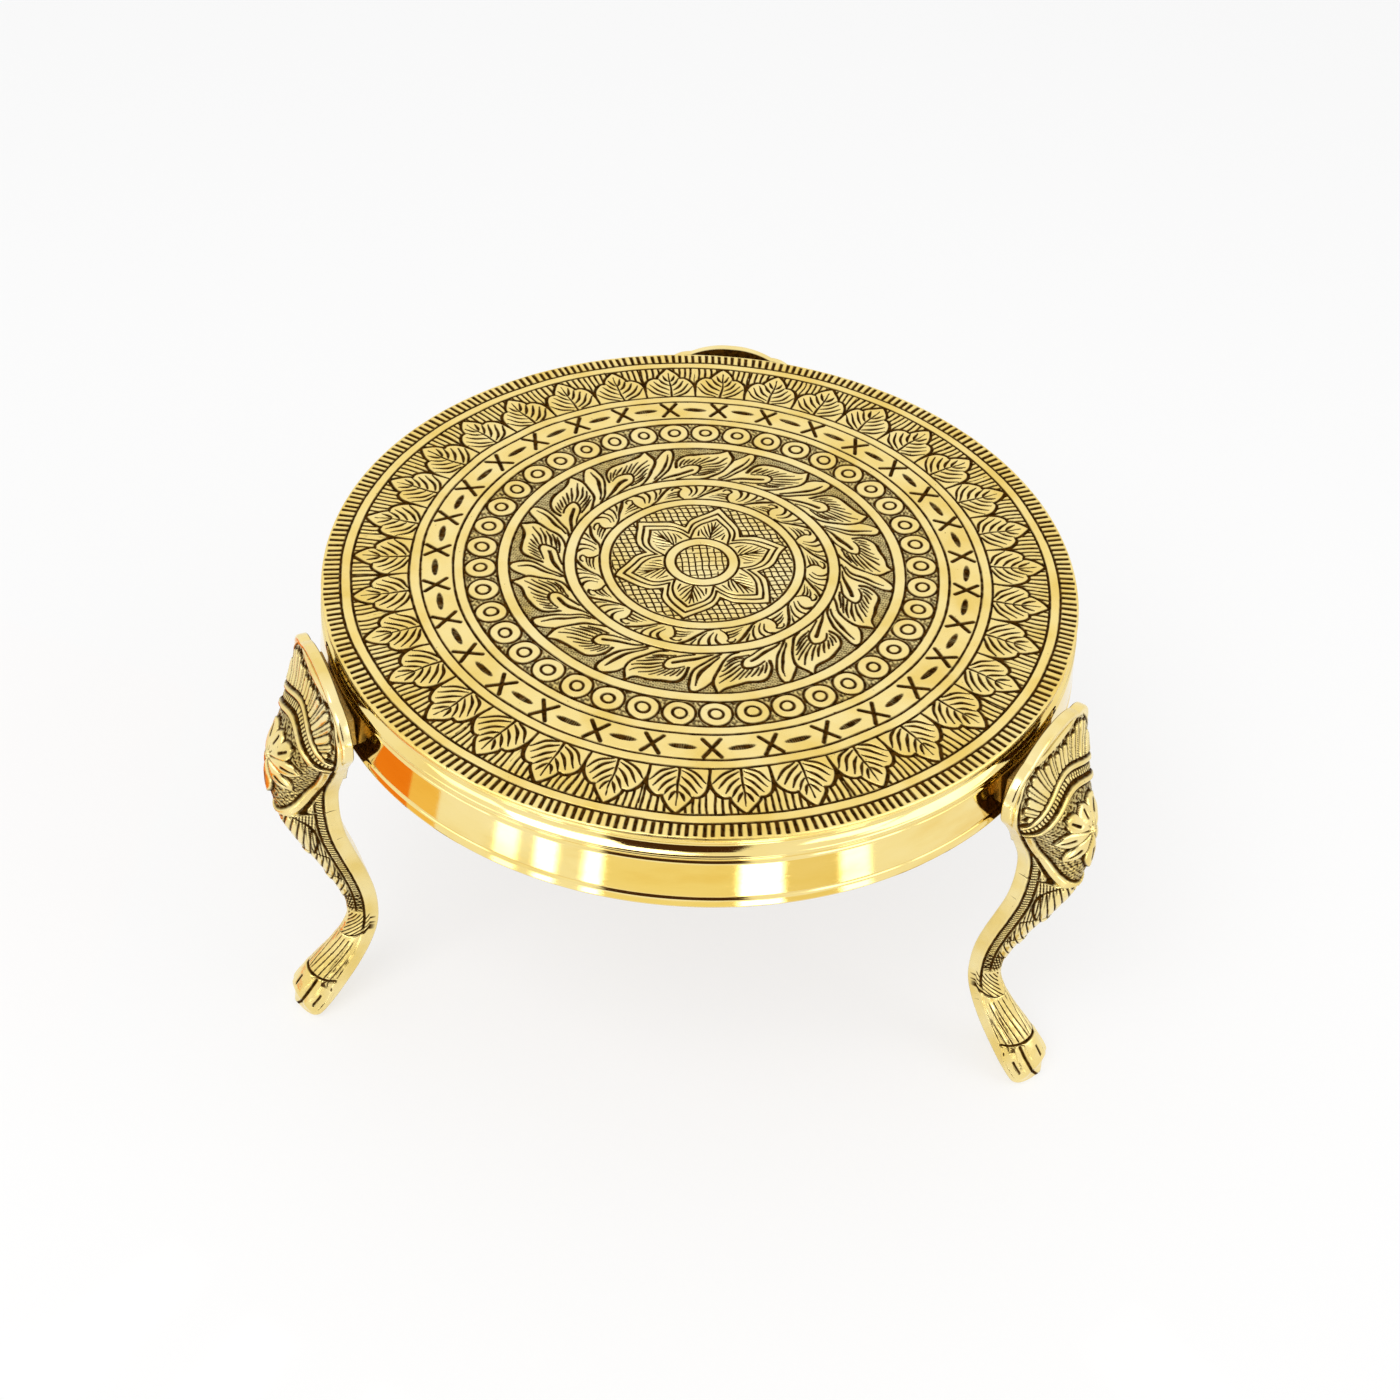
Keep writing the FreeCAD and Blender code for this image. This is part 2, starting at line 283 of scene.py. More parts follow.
def band_piece(name, shares, spacing, engrave, arc, material):
    """Closed solid of one band of the top: an engraved face, straight sides and a flat underside."""
    inner, outer = shares[0] * TOP_RADIUS, shares[1] * TOP_RADIUS
    whole = arc[1] - arc[0] >= FULL_TURN
    span = math.radians(arc[1] - arc[0])
    columns = int((inner + outer) / 2 * span / spacing)
    rows = int((outer - inner) / spacing) + 1
    angles = math.radians(arc[0]) + span * (np.arange(columns) / (columns if whole else columns - 1))
    r, a = np.meshgrid(np.linspace(inner, outer, rows), angles, indexing="ij")
    height, patina = engrave(r, a)
    levels = [np.stack([*flat(r, a), height], -1).reshape(-1, 3)]
    for radius in (outer, inner):
        levels.append(np.stack([*flat(radius, angles), np.full(columns, -SKIN_DEPTH)], -1))
    count = rows * columns
    face = grid_faces(rows, columns, whole)
    ring = np.arange(columns)
    rings = [(rows - 1) * columns + ring, count + ring, count + columns + ring, ring]
    faces = [face]
    for upper, lower in zip(rings, rings[1:]):
        strip = np.stack([upper, lower, np.roll(lower, -1), np.roll(upper, -1)], -1)
        faces.append(strip if whole else strip[:-1])
    if not whole:
        start = [row * columns for row in range(rows)] + [count, count + columns]
        end = [row * columns + columns - 1 for row in range(rows)]
        end += [count + columns - 1, count + 2 * columns - 1]
        faces.append(np.array([start[::-1], end]))
    flat_faces = range(len(face), sum(len(part) for part in faces))
    values = np.concatenate([patina.ravel(), np.zeros(2 * columns)])
    return make_object(name, np.vstack(levels), faces, material, flat_faces, values, plan=True)


# Engraving of the top. Each function gives the height and the patina at radius r and angle a.
# Sizes are millimetres, shares are of the top's radius and turns are degrees.

RING_WANDER = (0.12, 31.0, 3)
RING_FADE = (0.3 * LINE_WIDTH, 0.85 * LINE_WIDTH)
WEAR = 0.14
WEAR_RIPPLE = (3.1, 5)
PIT_LIMITS = (1.75, 2.2)
PIT_RIPPLE = (1.3, 9)
PIT_PATCH_LIMITS = (-0.2, 0.8)
PIT_PATCH_RIPPLE = (17.0, 2)
PIT_DEPTH = 0.12
PIT_STAIN = 0.6
ROLLING = 0.02
ROLLING_RIPPLE = (9.0, 11)
FACE_DROP = 0.03


def finish_band(r, a, cut, ring_shares, raised=0.0):
    """Adds the turned lines at a band's borders, pits and hand wear to its chased cut."""
    x, y = flat(r, a)
    amount, wavelength, salt = RING_WANDER
    wander = amount * ripple(x, y, wavelength, salt)
    for share in ring_shares:
        cut = np.maximum(cut, line_at(r - share * TOP_RADIUS + wander, RING_FADE))
    cut = cut * (1 - WEAR + WEAR * ripple(x, y, *WEAR_RIPPLE).clip(-1, 1))
    pits = smooth(*PIT_LIMITS, ripple(x, y, *PIT_RIPPLE))
    pits *= smooth(*PIT_PATCH_LIMITS, ripple(x, y, *PIT_PATCH_RIPPLE))
    rolling = ROLLING * ripple(x, y, *ROLLING_RIPPLE)
    height = -CUT_DEPTH * cut - PIT_DEPTH * pits + raised + rolling - FACE_DROP
    return height, np.clip(cut + PIT_STAIN * pits, 0, 1)


HUB_SHAKE = (0.12, 7.0, 21)
HUB_TURNS = (11.0, 101.0)
HUB_HATCH = (2.25, 0.26)
HUB_BREAK_LIMITS = (-1.9, -1.2)
HUB_BREAK_RIPPLE = (2.6, 23)
HUB_END_SHARES = (0.066, 0.069)
HUB_RING_SHARES = (0.070, 0.099)


def hub(r, a):
    """Cross-hatched middle and its plain ring."""
    x, y = flat(r, a)
    cut = hatching(*shaken(x, y, *HUB_SHAKE), HUB_TURNS, *HUB_HATCH)
    cut = cut * smooth(*HUB_BREAK_LIMITS, ripple(x, y, *HUB_BREAK_RIPPLE))
    return finish_band(r, a, cut * fading(*HUB_END_SHARES, r / TOP_RADIUS), HUB_RING_SHARES)


PETALS = 6
PETAL_TURN = 22.9
PETAL_OUTLINES = (
    ((0, 0.190), (7, 0.173), (14, 0.160), (21, 0.140), (26, 0.118), (30, 0.103)),
    ((0, 0.213), (8, 0.192), (15, 0.177), (21, 0.163), (26, 0.142), (30, 0.124)),
    ((0, 0.239), (8, 0.213), (15, 0.198), (22, 0.183), (27, 0.164), (30, 0.153)),
)
PETAL_VEINS = (
    ((0.104, 0.010), (0.118, 0.024), (0.136, 0.034)),
    ((0.107, 0.004), (0.126, 0.016), (0.150, 0.028)),
    ((0.118, 0.002), (0.139, 0.010), (0.163, 0.020)),
    ((0.132, 0.001), (0.152, 0.005), (0.171, 0.011)),
)
PETAL_OUTLINE_WIDTHS = (0.46, 0.4, 0.4)
PETAL_VEIN_WIDTHS = (0.2, 0.36, 0.2)
PETAL_MID_VEIN = ((0.103, 0), (0.176, 0))
PETAL_MID_WIDTHS = (0.4, 0.25)
PETAL_ROOTS = (((0.106, 0.034), (0.128, 0.0374)), ((0.106, 0.034), (0.120, 0.0374)))
PETAL_ROOT_WIDTHS = (0.35, 0.2)
PETAL_WOBBLE = 0.9
PETAL_WOBBLE_RIPPLE = (14.0, 31)
PETAL_GROWTH = 0.012
PETAL_GROWTH_RIPPLE = (16.0, 33)
PETAL_MARGIN = 0.8
FLOWER_SHAKE = (0.15, 6.0, 35)
FLOWER_TURNS = (24.0, 101.0)
FLOWER_HATCH = (2.2, 0.3)
FLOWER_END_SHARES = (0.240, 0.243)
FLOWER_RING_SHARES = (0.099, 0.246, 0.274)


def unit_angle(a, count, start):
    """Angle from the nearest of some evenly spaced places, in degrees, and that place's index."""
    pitch = FULL_TURN / count
    turned = (np.degrees(a) - start) / pitch
    index = np.round(turned)
    return (turned - index) * pitch, np.mod(index, count)


def scaled(points, wide=TOP_RADIUS, tall=TOP_RADIUS):
    """Points given as shares, in millimetres."""
    return [(u * wide, v * tall) for u, v in points]


def flower(r, a):
    """Six-petalled flower with three outlines on a hatched ground."""
    x, y = flat(r, a)
    wobble = np.radians(PETAL_WOBBLE * ripple(x, y, *PETAL_WOBBLE_RIPPLE))
    off, _ = unit_angle(a + wobble, PETALS, PETAL_TURN)
    grown = r * (1 + PETAL_GROWTH * ripple(x, y, *PETAL_GROWTH_RIPPLE))
    along, across = flat(grown, np.radians(off))
    marks = [([flat(share * TOP_RADIUS, math.radians(turn)) for turn, share in outline], PETAL_OUTLINE_WIDTHS)
             for outline in PETAL_OUTLINES]
    marks.append((scaled(PETAL_MID_VEIN), PETAL_MID_WIDTHS))
    marks += [(scaled(vein), PETAL_VEIN_WIDTHS) for vein in PETAL_VEINS]
    marks += [(scaled(root), PETAL_ROOT_WIDTHS) for root in PETAL_ROOTS]
    cut = strokes(along, np.abs(across), marks)
    turns, shares = zip(*PETAL_OUTLINES[-1])
    outside = above(grown, np.interp(np.abs(off), turns, shares) * TOP_RADIUS, PETAL_MARGIN)
    outside = outside * fading(*FLOWER_END_SHARES, r / TOP_RADIUS)
    ground = hatching(*shaken(x, y, *FLOWER_SHAKE), FLOWER_TURNS, *FLOWER_HATCH)
    return finish_band(r, a, np.maximum(cut, ground * outside), FLOWER_RING_SHARES)


SCROLLS = 14
SCROLL_TURN = 6.4
SCROLL_STROKES = (
    (((0, 0.3385), (5.0, 0.3175), (10, 0.295), (12.9, 0.2825), (17.5, 0.2745)), (0.55, 0.65, 0.5, 0.3)),
    (((23.8, 0.313), (22.4, 0.320), (23.8, 0.3262), (26.0, 0.3245), (27.0, 0.3175)), (0.3, 0.42, 0.3)),
    (((23.2, 0.3138), (24.0, 0.3025), (23.6, 0.290), (21.6, 0.2775)), (0.3, 0.45, 0.25)),
    (((19.6, 0.337), (17.3, 0.325), (16.8, 0.310), (18.5, 0.2925)), (0.5, 0.45, 0.2)),
    (((14.4, 0.337), (13.7, 0.320), (14.6, 0.3025), (17.0, 0.2865)), (0.45, 0.45, 0.2)),
    (((9.5, 0.337), (9.7, 0.320), (11.3, 0.3025), (13.4, 0.289)), (0.45, 0.42, 0.2)),
    (((5.6, 0.337), (6.4, 0.3263), (8.6, 0.3115)), (0.45, 0.4, 0.18)),
    (((24.2, 0.3095), (27.0, 0.3065), (30.0, 0.3005)), (0.4, 0.32, 0.12)),
    (((24.6, 0.2995), (28.0, 0.2975), (31.6, 0.2925)), (0.4, 0.34, 0.12)),
    (((24.4, 0.2890), (28.0, 0.2880), (33.0, 0.2850)), (0.4, 0.34, 0.12)),
)
SCROLL_HAND = (0.28, 41)
SCROLL_START_SHARES = (0.272, 0.276)
SCROLL_END_SHARES = (0.3365, 0.3395)
SCROLL_RING_SHARES = (0.274, 0.336, 0.367)
HAND_WAVELENGTHS = (11.0, 13.0)
HAND_TURN = 1.4


def repeat_strokes(r, a, marks, count, start):
    """Strokes given as (degrees from their unit's start, share of the top radius), repeated round a band."""
    pitch = FULL_TURN / count
    turned = np.mod(np.degrees(a) - start, FULL_TURN) / pitch
    local = np.radians((turned - np.floor(turned)) * pitch) * r
    placed = []
    for copy in (-1, 0, 1):
        for points, widths in marks:
            places = [(math.radians(t + copy * pitch) * share * TOP_RADIUS, share * TOP_RADIUS)
                      for t, share in points]
            placed.append((places, widths))
    return strokes(local, r, placed)


def hand(r, a, amount, salt):
    """The hand's unevenness: radius and angle moved a little from place to place."""
    x, y = flat(r, a)
    outward, sideways = HAND_WAVELENGTHS
    moved_r = r + amount * ripple(x, y, outward, salt)
    moved_a = a + amount * HAND_TURN * ripple(x, y, sideways, salt + 1) / np.maximum(r, 1)
    return moved_r, moved_a


def scrolls(r, a):
    """Running wave of scrolls."""
    cut = repeat_strokes(*hand(r, a, *SCROLL_HAND), SCROLL_STROKES, SCROLLS, SCROLL_TURN)
    cut = cut * within(r / TOP_RADIUS, SCROLL_START_SHARES, SCROLL_END_SHARES)
    return finish_band(r, a, cut, SCROLL_RING_SHARES)


FEATHERS = 13
FEATHER_TURN = 3.0
VEIN_WIDTHS = (0.25, 0.46, 0.3)
SHORT_VEIN_WIDTHS = (0.25, 0.48, 0.3)
LONG_VEIN_WIDTHS = (0.25, 0.5, 0.3)
FEATHER_STROKES = (
    (((0, 0.5085), (-1.8, 0.4733), (-0.9, 0.440), (1.9, 0.4033), (6.2, 0.3765), (9.4, 0.3675)),
     (0.5, 0.55, 0.45)),
    (((0.3, 0.511), (3.1, 0.4933), (8.1, 0.4867), (13.1, 0.4833), (15.8, 0.470), (17.8, 0.4467),
      (18.6, 0.425)), (0.5, 0.65, 0.6)),
    (((-7.6, 0.5125), (-8.9, 0.5067), (-9.3, 0.4867), (-8.5, 0.4533), (-6.1, 0.420), (-1.9, 0.3867),
      (2.4, 0.3685)), (0.45, 0.55, 0.5)),
    (((-7.3, 0.5125), (-5.9, 0.5067), (-4.0, 0.490), (-2.3, 0.4717)), (0.45, 0.55, 0.45)),
    (((-7.2, 0.4885), (-6.5, 0.460), (-5.0, 0.436), (-1.9, 0.402), (1.4, 0.3805)), (0.25, 0.75, 0.3)),
    (((16.9, 0.4225), (14.2, 0.4317), (11.4, 0.435), (9.4, 0.428), (9.4, 0.412), (11.0, 0.3935),
      (14.7, 0.3825), (20.3, 0.372)), (0.35, 0.55, 0.5, 0.35)),
    (((12.8, 0.4085), (16.9, 0.3975), (21.9, 0.3835), (26.5, 0.3725)), (0.75, 0.8, 0.35)),
    (((0.3, 0.475), (4.0, 0.447), (8.4, 0.4275)), LONG_VEIN_WIDTHS),
    (((3.6, 0.4717), (6.4, 0.452), (9.2, 0.4365)), SHORT_VEIN_WIDTHS),
    (((6.4, 0.4685), (8.6, 0.452), (10.6, 0.440)), SHORT_VEIN_WIDTHS),
    (((8.8, 0.4667), (10.6, 0.452), (12.1, 0.440)), VEIN_WIDTHS),
    (((10.9, 0.4650), (12.5, 0.452), (14.0, 0.439)), VEIN_WIDTHS),
    (((12.9, 0.4633), (14.4, 0.448), (15.6, 0.435)), VEIN_WIDTHS),
    (((14.9, 0.4583), (16.2, 0.443), (17.2, 0.4285)), VEIN_WIDTHS),
    (((0.1, 0.4533), (4.2, 0.431), (8.6, 0.4165)), LONG_VEIN_WIDTHS),
    (((0.9, 0.4350), (4.8, 0.415), (8.9, 0.4035)), LONG_VEIN_WIDTHS),
    (((2.3, 0.4165), (6.2, 0.400), (10.2, 0.3910)), LONG_VEIN_WIDTHS),
    (((4.0, 0.4005), (8.0, 0.387), (12.6, 0.3815)), LONG_VEIN_WIDTHS),
)
FEATHER_EDGE = ((-9.2, 0.4467), (-8.9, 0.5067), (-7.5, 0.5125), (-6.1, 0.5083), (-4.2, 0.490), (-2.4, 0.4717),
                (-1.0, 0.495), (0, 0.5083), (0.5, 0.510), (3.1, 0.4933), (8.1, 0.4867), (13.1, 0.4833),
                (15.8, 0.470), (17.8, 0.4467), (18.5, 0.4467))
FEATHER_HAND = (0.33, 51)
FEATHER_MARGIN = 0.5
STIPPLE_DEPTHS = (0.26, 0.46)
STIPPLE_LIMITS = (-0.2, 0.9)
STIPPLE_RIPPLE = (0.95, 55)
FEATHER_RING_SHARES = (0.367, 0.512)


def feathers(r, a):
    """Turning feather leaves with buds between, on a stippled ground."""
    moved_r, moved_a = hand(r, a, *FEATHER_HAND)
    cut = repeat_strokes(moved_r, moved_a, FEATHER_STROKES, FEATHERS, FEATHER_TURN)
    low = FEATHER_EDGE[0][0]
    local = np.mod(np.degrees(moved_a) - FEATHER_TURN - low, FULL_TURN / FEATHERS) + low
    turns, shares = zip(*FEATHER_EDGE)
    ground = above(moved_r, np.interp(local, turns, shares) * TOP_RADIUS, FEATHER_MARGIN)
    base, more = STIPPLE_DEPTHS
    stipple = base + more * smooth(*STIPPLE_LIMITS, ripple(*flat(r, a), *STIPPLE_RIPPLE))
    return finish_band(r, a, np.maximum(cut, ground * stipple), FEATHER_RING_SHARES)


BEADS = 41
BEAD_TURN = 93.9
BEAD_CENTRE_SHARE = 0.5878
BEAD_RADIUS_SHARE = 0.0412
BEAD_EYE_SHARE = 0.0158
BEAD_HAND = (0.14, 61)
BEAD_SHIFTS = (0.25, 0.3)
BEAD_FLATTEN = 0.97
BEAD_RING_SIZES = (0.985, 0.02)
BEAD_EYE_SIZES = (0.92, 0.2)
BEAD_RING_WIDTH = (0.2, 0.72)
BEAD_EYE_WIDTH = (0.2, 0.7)
BEAD_START_SHARES = (0.5455, 0.548)
BEAD_END_SHARES = (0.628, 0.6305)
BEAD_CORNER_LIMITS = (0.3, 0.8)
CRUMB_DEPTHS = (0.2, 0.5)
CRUMB_LIMITS = (-0.6, 0.5)
CRUMB_RIPPLE = (1.5, 65)
BEAD_DOME = 0.12
BEAD_RING_SHARES = (0.512, 0.544, 0.631, 0.659)


def beads(r, a):
    """Touching beads, each a ring with a round eye, and the plain rings at both sides."""
    moved_r, moved_a = hand(r, a, *BEAD_HAND)
    off, index = unit_angle(moved_a, BEADS, BEAD_TURN)
    x = np.radians(off) * moved_r + uneven(index, 2, BEAD_SHIFTS[0])
    y = moved_r - BEAD_CENTRE_SHARE * TOP_RADIUS + uneven(index, 3, BEAD_SHIFTS[1])
    away = np.hypot(x, y * BEAD_FLATTEN)
    ring = BEAD_RADIUS_SHARE * TOP_RADIUS * (BEAD_RING_SIZES[0] + BEAD_RING_SIZES[1] * chance(index, 4))
    eye = BEAD_EYE_SHARE * TOP_RADIUS * (BEAD_EYE_SIZES[0] + BEAD_EYE_SIZES[1] * chance(index, 5))
    cut = np.maximum(line_at(away - ring, BEAD_RING_WIDTH), line_at(away - eye, BEAD_EYE_WIDTH))
    inside = within(r / TOP_RADIUS, BEAD_START_SHARES, BEAD_END_SHARES)
    corner = smooth(*BEAD_CORNER_LIMITS, away - ring) * inside
    crumbs = CRUMB_DEPTHS[0] + CRUMB_DEPTHS[1] * smooth(*CRUMB_LIMITS, ripple(*flat(r, a), *CRUMB_RIPPLE))
    dome = BEAD_DOME * fading(0, 1, away / ring) * inside
    return finish_band(r, a, np.maximum(cut * inside, corner * crumbs), BEAD_RING_SHARES, dome)


CROSSES = 31
CROSS_TURN = 91.0
CROSS_CENTRE_SHARE = 0.7045
CROSS_REACH_SHARES = (0.0215, 0.0300)
CROSS_WIDTHS = (0.7, 1.1, 0.7)
CROSS_SHIFTS, CROSS_TILT = (0.4, 0.3), 7.0
DASH_REACH_SHARES = (0.0345, 0.0088)
DASH_FADE = (0.8, 1.15)
DASH_GRAIN = 0.28
DASH_LINES = (0.75, 0.2)
DASH_SHIFTS, DASH_TILT = (0.5, 0.5), 14.0
CROSS_RING_SHARES = (0.659, 0.744, 0.773)


def mark_place(r, a, start, shifts, turn, salt):
    """Place within the nearest mark of the crosses' band, each mark a little shifted and turned."""
    off, index = unit_angle(a, CROSSES, start)
    x = np.radians(off) * r + uneven(index, salt, shifts[0])
    y = r - CROSS_CENTRE_SHARE * TOP_RADIUS + uneven(index, salt + 1, shifts[1])
    tilt = uneven(index, salt + 2, math.radians(turn))
    return x * np.cos(tilt) + y * np.sin(tilt), y * np.cos(tilt) - x * np.sin(tilt)


def crosses(r, a):
    """Crosses and lens-shaped dashes in turn, and the plain ring outside them."""
    wide, tall = np.array(CROSS_REACH_SHARES) * TOP_RADIUS
    place = mark_place(r, a, CROSS_TURN, CROSS_SHIFTS, CROSS_TILT, 12)
    cut = strokes(*place, [([(-lean * wide, -tall), (lean * wide, tall)], CROSS_WIDTHS) for lean in (-1, 1)])
    wide, tall = np.array(DASH_REACH_SHARES) * TOP_RADIUS
    x, y = mark_place(r, a, CROSS_TURN + FULL_TURN / 2 / CROSSES, DASH_SHIFTS, DASH_TILT, 16)
    grain = 1 - DASH_GRAIN + DASH_GRAIN * lines(x, *DASH_LINES)
    dash = fading(*DASH_FADE, np.hypot(x / wide, y / tall)) * grain
    return finish_band(r, a, np.maximum(cut, dash), CROSS_RING_SHARES)


LEAVES = 34
LEAF_TURN = 91.0
LEAF_SPAN_SHARES = (0.773, 0.9235)
LEAF_EDGE = ((0, 1.0), (0.05, 0.955), (0.115, 0.875), (0.175, 0.785), (0.212, 0.705), (0.222, 0.645),
             (0.29, 0.655), (0.365, 0.615), (0.435, 0.53), (0.48, 0.42), (0.5, 0.30))
LEAF_VEINS = (
    ((0.09, 0.02), (0.30, 0.13), (0.445, 0.34)),
    ((0.05, 0.08), (0.23, 0.22), (0.370, 0.45)),
    ((0.045, 0.23), (0.18, 0.36), (0.280, 0.55)),
    ((0.035, 0.38), (0.12, 0.48), (0.190, 0.63)),
    ((0.030, 0.53), (0.075, 0.61), (0.115, 0.74)),
)
LEAF_LINES = (
    (LEAF_EDGE[:6], (0.6, 0.55, 0.5)),
    (LEAF_EDGE[5:], (0.5, 0.62, 0.65)),
    ((LEAF_EDGE[-1], (0.5, 0.0)), (0.6, 0.45)),
    (((0, 0.0), (0, 0.83)), (0.5, 0.42, 0.2)),
)
LEAF_VEIN_WIDTHS = (0.26, 0.55, 0.5, 0.2)
LEAF_HAND = (0.2, 71)
LEAF_MARGIN = 0.7
LEAF_END_SHARES = (0.9185, 0.9215)
LEAF_HATCHES = 10
LEAF_HATCH_SHARE = 0.88
LEAF_HATCH_HALF = 0.43
LEAF_HATCH_SLANT = 0.10


def leaves(r, a):
    """Ring of three-lobed leaves with veins, and radial hatching between their tips."""
    moved_r, moved_a = hand(r, a, *LEAF_HAND)
    off, index = unit_angle(moved_a, LEAVES, LEAF_TURN)
    pitch = FULL_TURN / LEAVES
    tall = (LEAF_SPAN_SHARES[1] - LEAF_SPAN_SHARES[0]) * TOP_RADIUS
    wide = math.radians(pitch) * sum(LEAF_SPAN_SHARES) / 2 * TOP_RADIUS
    side = np.abs(off / pitch)
    y = moved_r - LEAF_SPAN_SHARES[0] * TOP_RADIUS
    marks = LEAF_LINES + tuple((vein, LEAF_VEIN_WIDTHS) for vein in LEAF_VEINS)
    cut = strokes(side * wide, y, [(scaled(points, wide, tall), widths) for points, widths in marks])
    sides, heights = zip(*LEAF_EDGE)
    outside = above(y, np.interp(side, sides, heights) * tall, LEAF_MARGIN)
    outside = outside * fading(*LEAF_END_SHARES, r / TOP_RADIUS)
    reach = LEAF_HATCH_SHARE * TOP_RADIUS
    slant = uneven(index, 74, LEAF_HATCH_SLANT) * y
    spacing = math.radians(pitch / LEAF_HATCHES) * reach
    hatch = lines(np.radians(off) * reach + slant, spacing, LEAF_HATCH_HALF)
    return finish_band(r, a, np.maximum(cut, hatch * outside), LEAF_SPAN_SHARES)


RIM_TICKS = 298
RIM_SPAN_SHARES = (0.9525, 0.9950)
RIM_MIDDLE_SHARE = 0.97
RIM_DRIFT = 0.004
RIM_DRIFT_RIPPLE = (40.0, 81)
TICK_SHIFT = 0.35
TICK_LEAN = 0.06
TICK_WIDTH = (0.30, 0.86)
TICK_ENDS = (0.003, 0.004)
TICK_END_SOFT = 0.001
RIM_RING_SHARES = (0.9235, 0.952)


def rim(r, a):
    """Plain ring, close radial ticks and the smooth lip."""
    drift = RIM_DRIFT * ripple(*flat(r, a), *RIM_DRIFT_RIPPLE)
    off, index = unit_angle(a + drift, RIM_TICKS, 0.0)
    side = np.radians(off) * r + uneven(index, 82, TICK_SHIFT)
    side = side + uneven(index, 83, TICK_LEAN) * (r - RIM_MIDDLE_SHARE * TOP_RADIUS)
    start = RIM_SPAN_SHARES[0] + TICK_ENDS[0] * chance(index, 84)
    end = RIM_SPAN_SHARES[1] - TICK_ENDS[1] * chance(index, 85)
    tick = line_at(side, TICK_WIDTH) * within(r / TOP_RADIUS, (start - TICK_END_SOFT, start + TICK_END_SOFT),
                                              (end - TICK_END_SOFT, end + TICK_END_SOFT))
    height, patina = finish_band(r, a, tick, RIM_RING_SHARES)
    edge = np.clip((TOP_RADIUS - r) / LIP_ROUND, 0, 1)
    return height - LIP_ROUND * (1 - np.sqrt(np.clip(1 - (1 - edge) ** 2, 0, 1))), patina


# Materials. Stops are places along a ramp, each with a colour or a grey value.

WHITE = (1.0, 1.0, 1.0)
BLACK = (0.0, 0.0, 0.0)
PALE_BRASS = (0.94, 0.765, 0.335)
BRIGHT_BRASS = (0.96, 0.82, 0.42)
WARM_BRASS = (0.87, 0.66, 0.21)
BROWN_PATINA = (0.022, 0.008, 0.0004)
RED_PATINA = (0.075, 0.030, 0.003)
RIM_WARMTH = (1.0, 0.945, 0.74)
RIM_WARMTH_START = 0.3
LAND_STOPS = ((0.34, WARM_BRASS), (0.52, PALE_BRASS), (0.7, BRIGHT_BRASS))
DIRT_STOPS = ((0.38, BROWN_PATINA), (0.62, RED_PATINA))
STAIN_STOPS = ((0.06, 0.0), (0.4, 0.7), (0.7, 1.0))
BARE_STOPS = ((0.3, 1.0), (0.8, 0.0))
POLISHED_STOPS = ((0.3, (0.87, 0.63, 0.18)), (0.5, (0.92, 0.73, 0.28)), (0.72, PALE_BRASS))
CAST_STOPS = ((0.3, (0.30, 0.17, 0.045)), (0.55, (0.50, 0.32, 0.09)), (0.75, (0.62, 0.43, 0.14)))
STEEL_STOPS = ((0.3, (0.40, 0.36, 0.28)), (0.6, (0.62, 0.59, 0.52)), (0.8, (0.70, 0.68, 0.62)))
TOP_ROUGHNESS = 0.3
LEG_ROUGHNESS = 0.17
ENGRAVED_ROUGHNESS_SHIFTS = ((0.3, -0.06), (0.7, 0.1))
POLISHED_ROUGHNESS_STOPS = ((0.35, 0.035), (0.7, 0.095))
CAST_ROUGHNESS_STOPS = ((0.3, 0.42), (0.7, 0.62))
STEEL_ROUGHNESS_STOPS = ((0.3, 0.45), (0.7, 0.26))
# Noises as scale, detail and stretch, and bumps as strength and distance in metres
LAND_CLOUD = (55.0,)
DIRT_SPECKS = (900.0, 2.0)
ENGRAVED_GRAIN = (420.0,)
ENGRAVED_BUMP = (0.12, 0.0002)
POLISHED_CLOUD = (30.0, 4.0, (1, 1, 3))
TURNING_MARKS = (60.0, 3.0, (0.6, 0.6, 90))
POLISHED_BUMP = (0.05, 0.00025)
CAST_CLOUD = (42.0, 6.0)
CAST_GRAIN = (700.0, 5.0)
CAST_BUMP = (0.5, 0.0004)
STEEL_CLOUD = (260.0, 5.0)


def node_setup(name):
    material = bpy.data.materials.new(name)
    material.use_nodes = True
    tree = material.node_tree
    return material, tree, tree.nodes["Principled BSDF"]


def set_values(node, values):
    """Sets (socket, value) pairs."""
    for socket, value in values:
        node.inputs[socket].default_value = value


def new_node(tree, kind, values=(), **settings):
    """Node with its settings, then its (socket, value) pairs."""
    made = tree.nodes.new("ShaderNode" + kind)
    for setting, choice in settings.items():
        setattr(made, setting, choice)
    set_values(made, values)
    return made


def link(tree, source, output, target, socket):
    tree.links.new(source.outputs[output], target.inputs[socket])


def noise(tree, scale, detail=4.0, stretch=(1, 1, 1)):
    """Noise over the object's own place in metres, stretched where asked."""
    place = new_node(tree, "TexCoord")
    mapping = new_node(tree, "Mapping", [("Scale", stretch)])
    texture = new_node(tree, "TexNoise", [("Scale", scale), ("Detail", detail)])
    link(tree, place, "Object", mapping, "Vector")
    link(tree, mapping, "Vector", texture, "Vector")
    return texture


def ramp(tree, source, output, stops):
    """Colour ramp from (place, colour) stops; a single value stands for a grey."""
    node = new_node(tree, "ValToRGB")
    elements = node.color_ramp.elements
    while len(elements) > 1:
        elements.remove(elements[-1])
    for i, (place, colour) in enumerate(stops):
        element = elements[0] if i == 0 else elements.new(place)
        element.position = place
        element.color = (*colour, 1) if isinstance(colour, tuple) else (colour, colour, colour, 1)
    link(tree, source, output, node, "Fac")
    return node


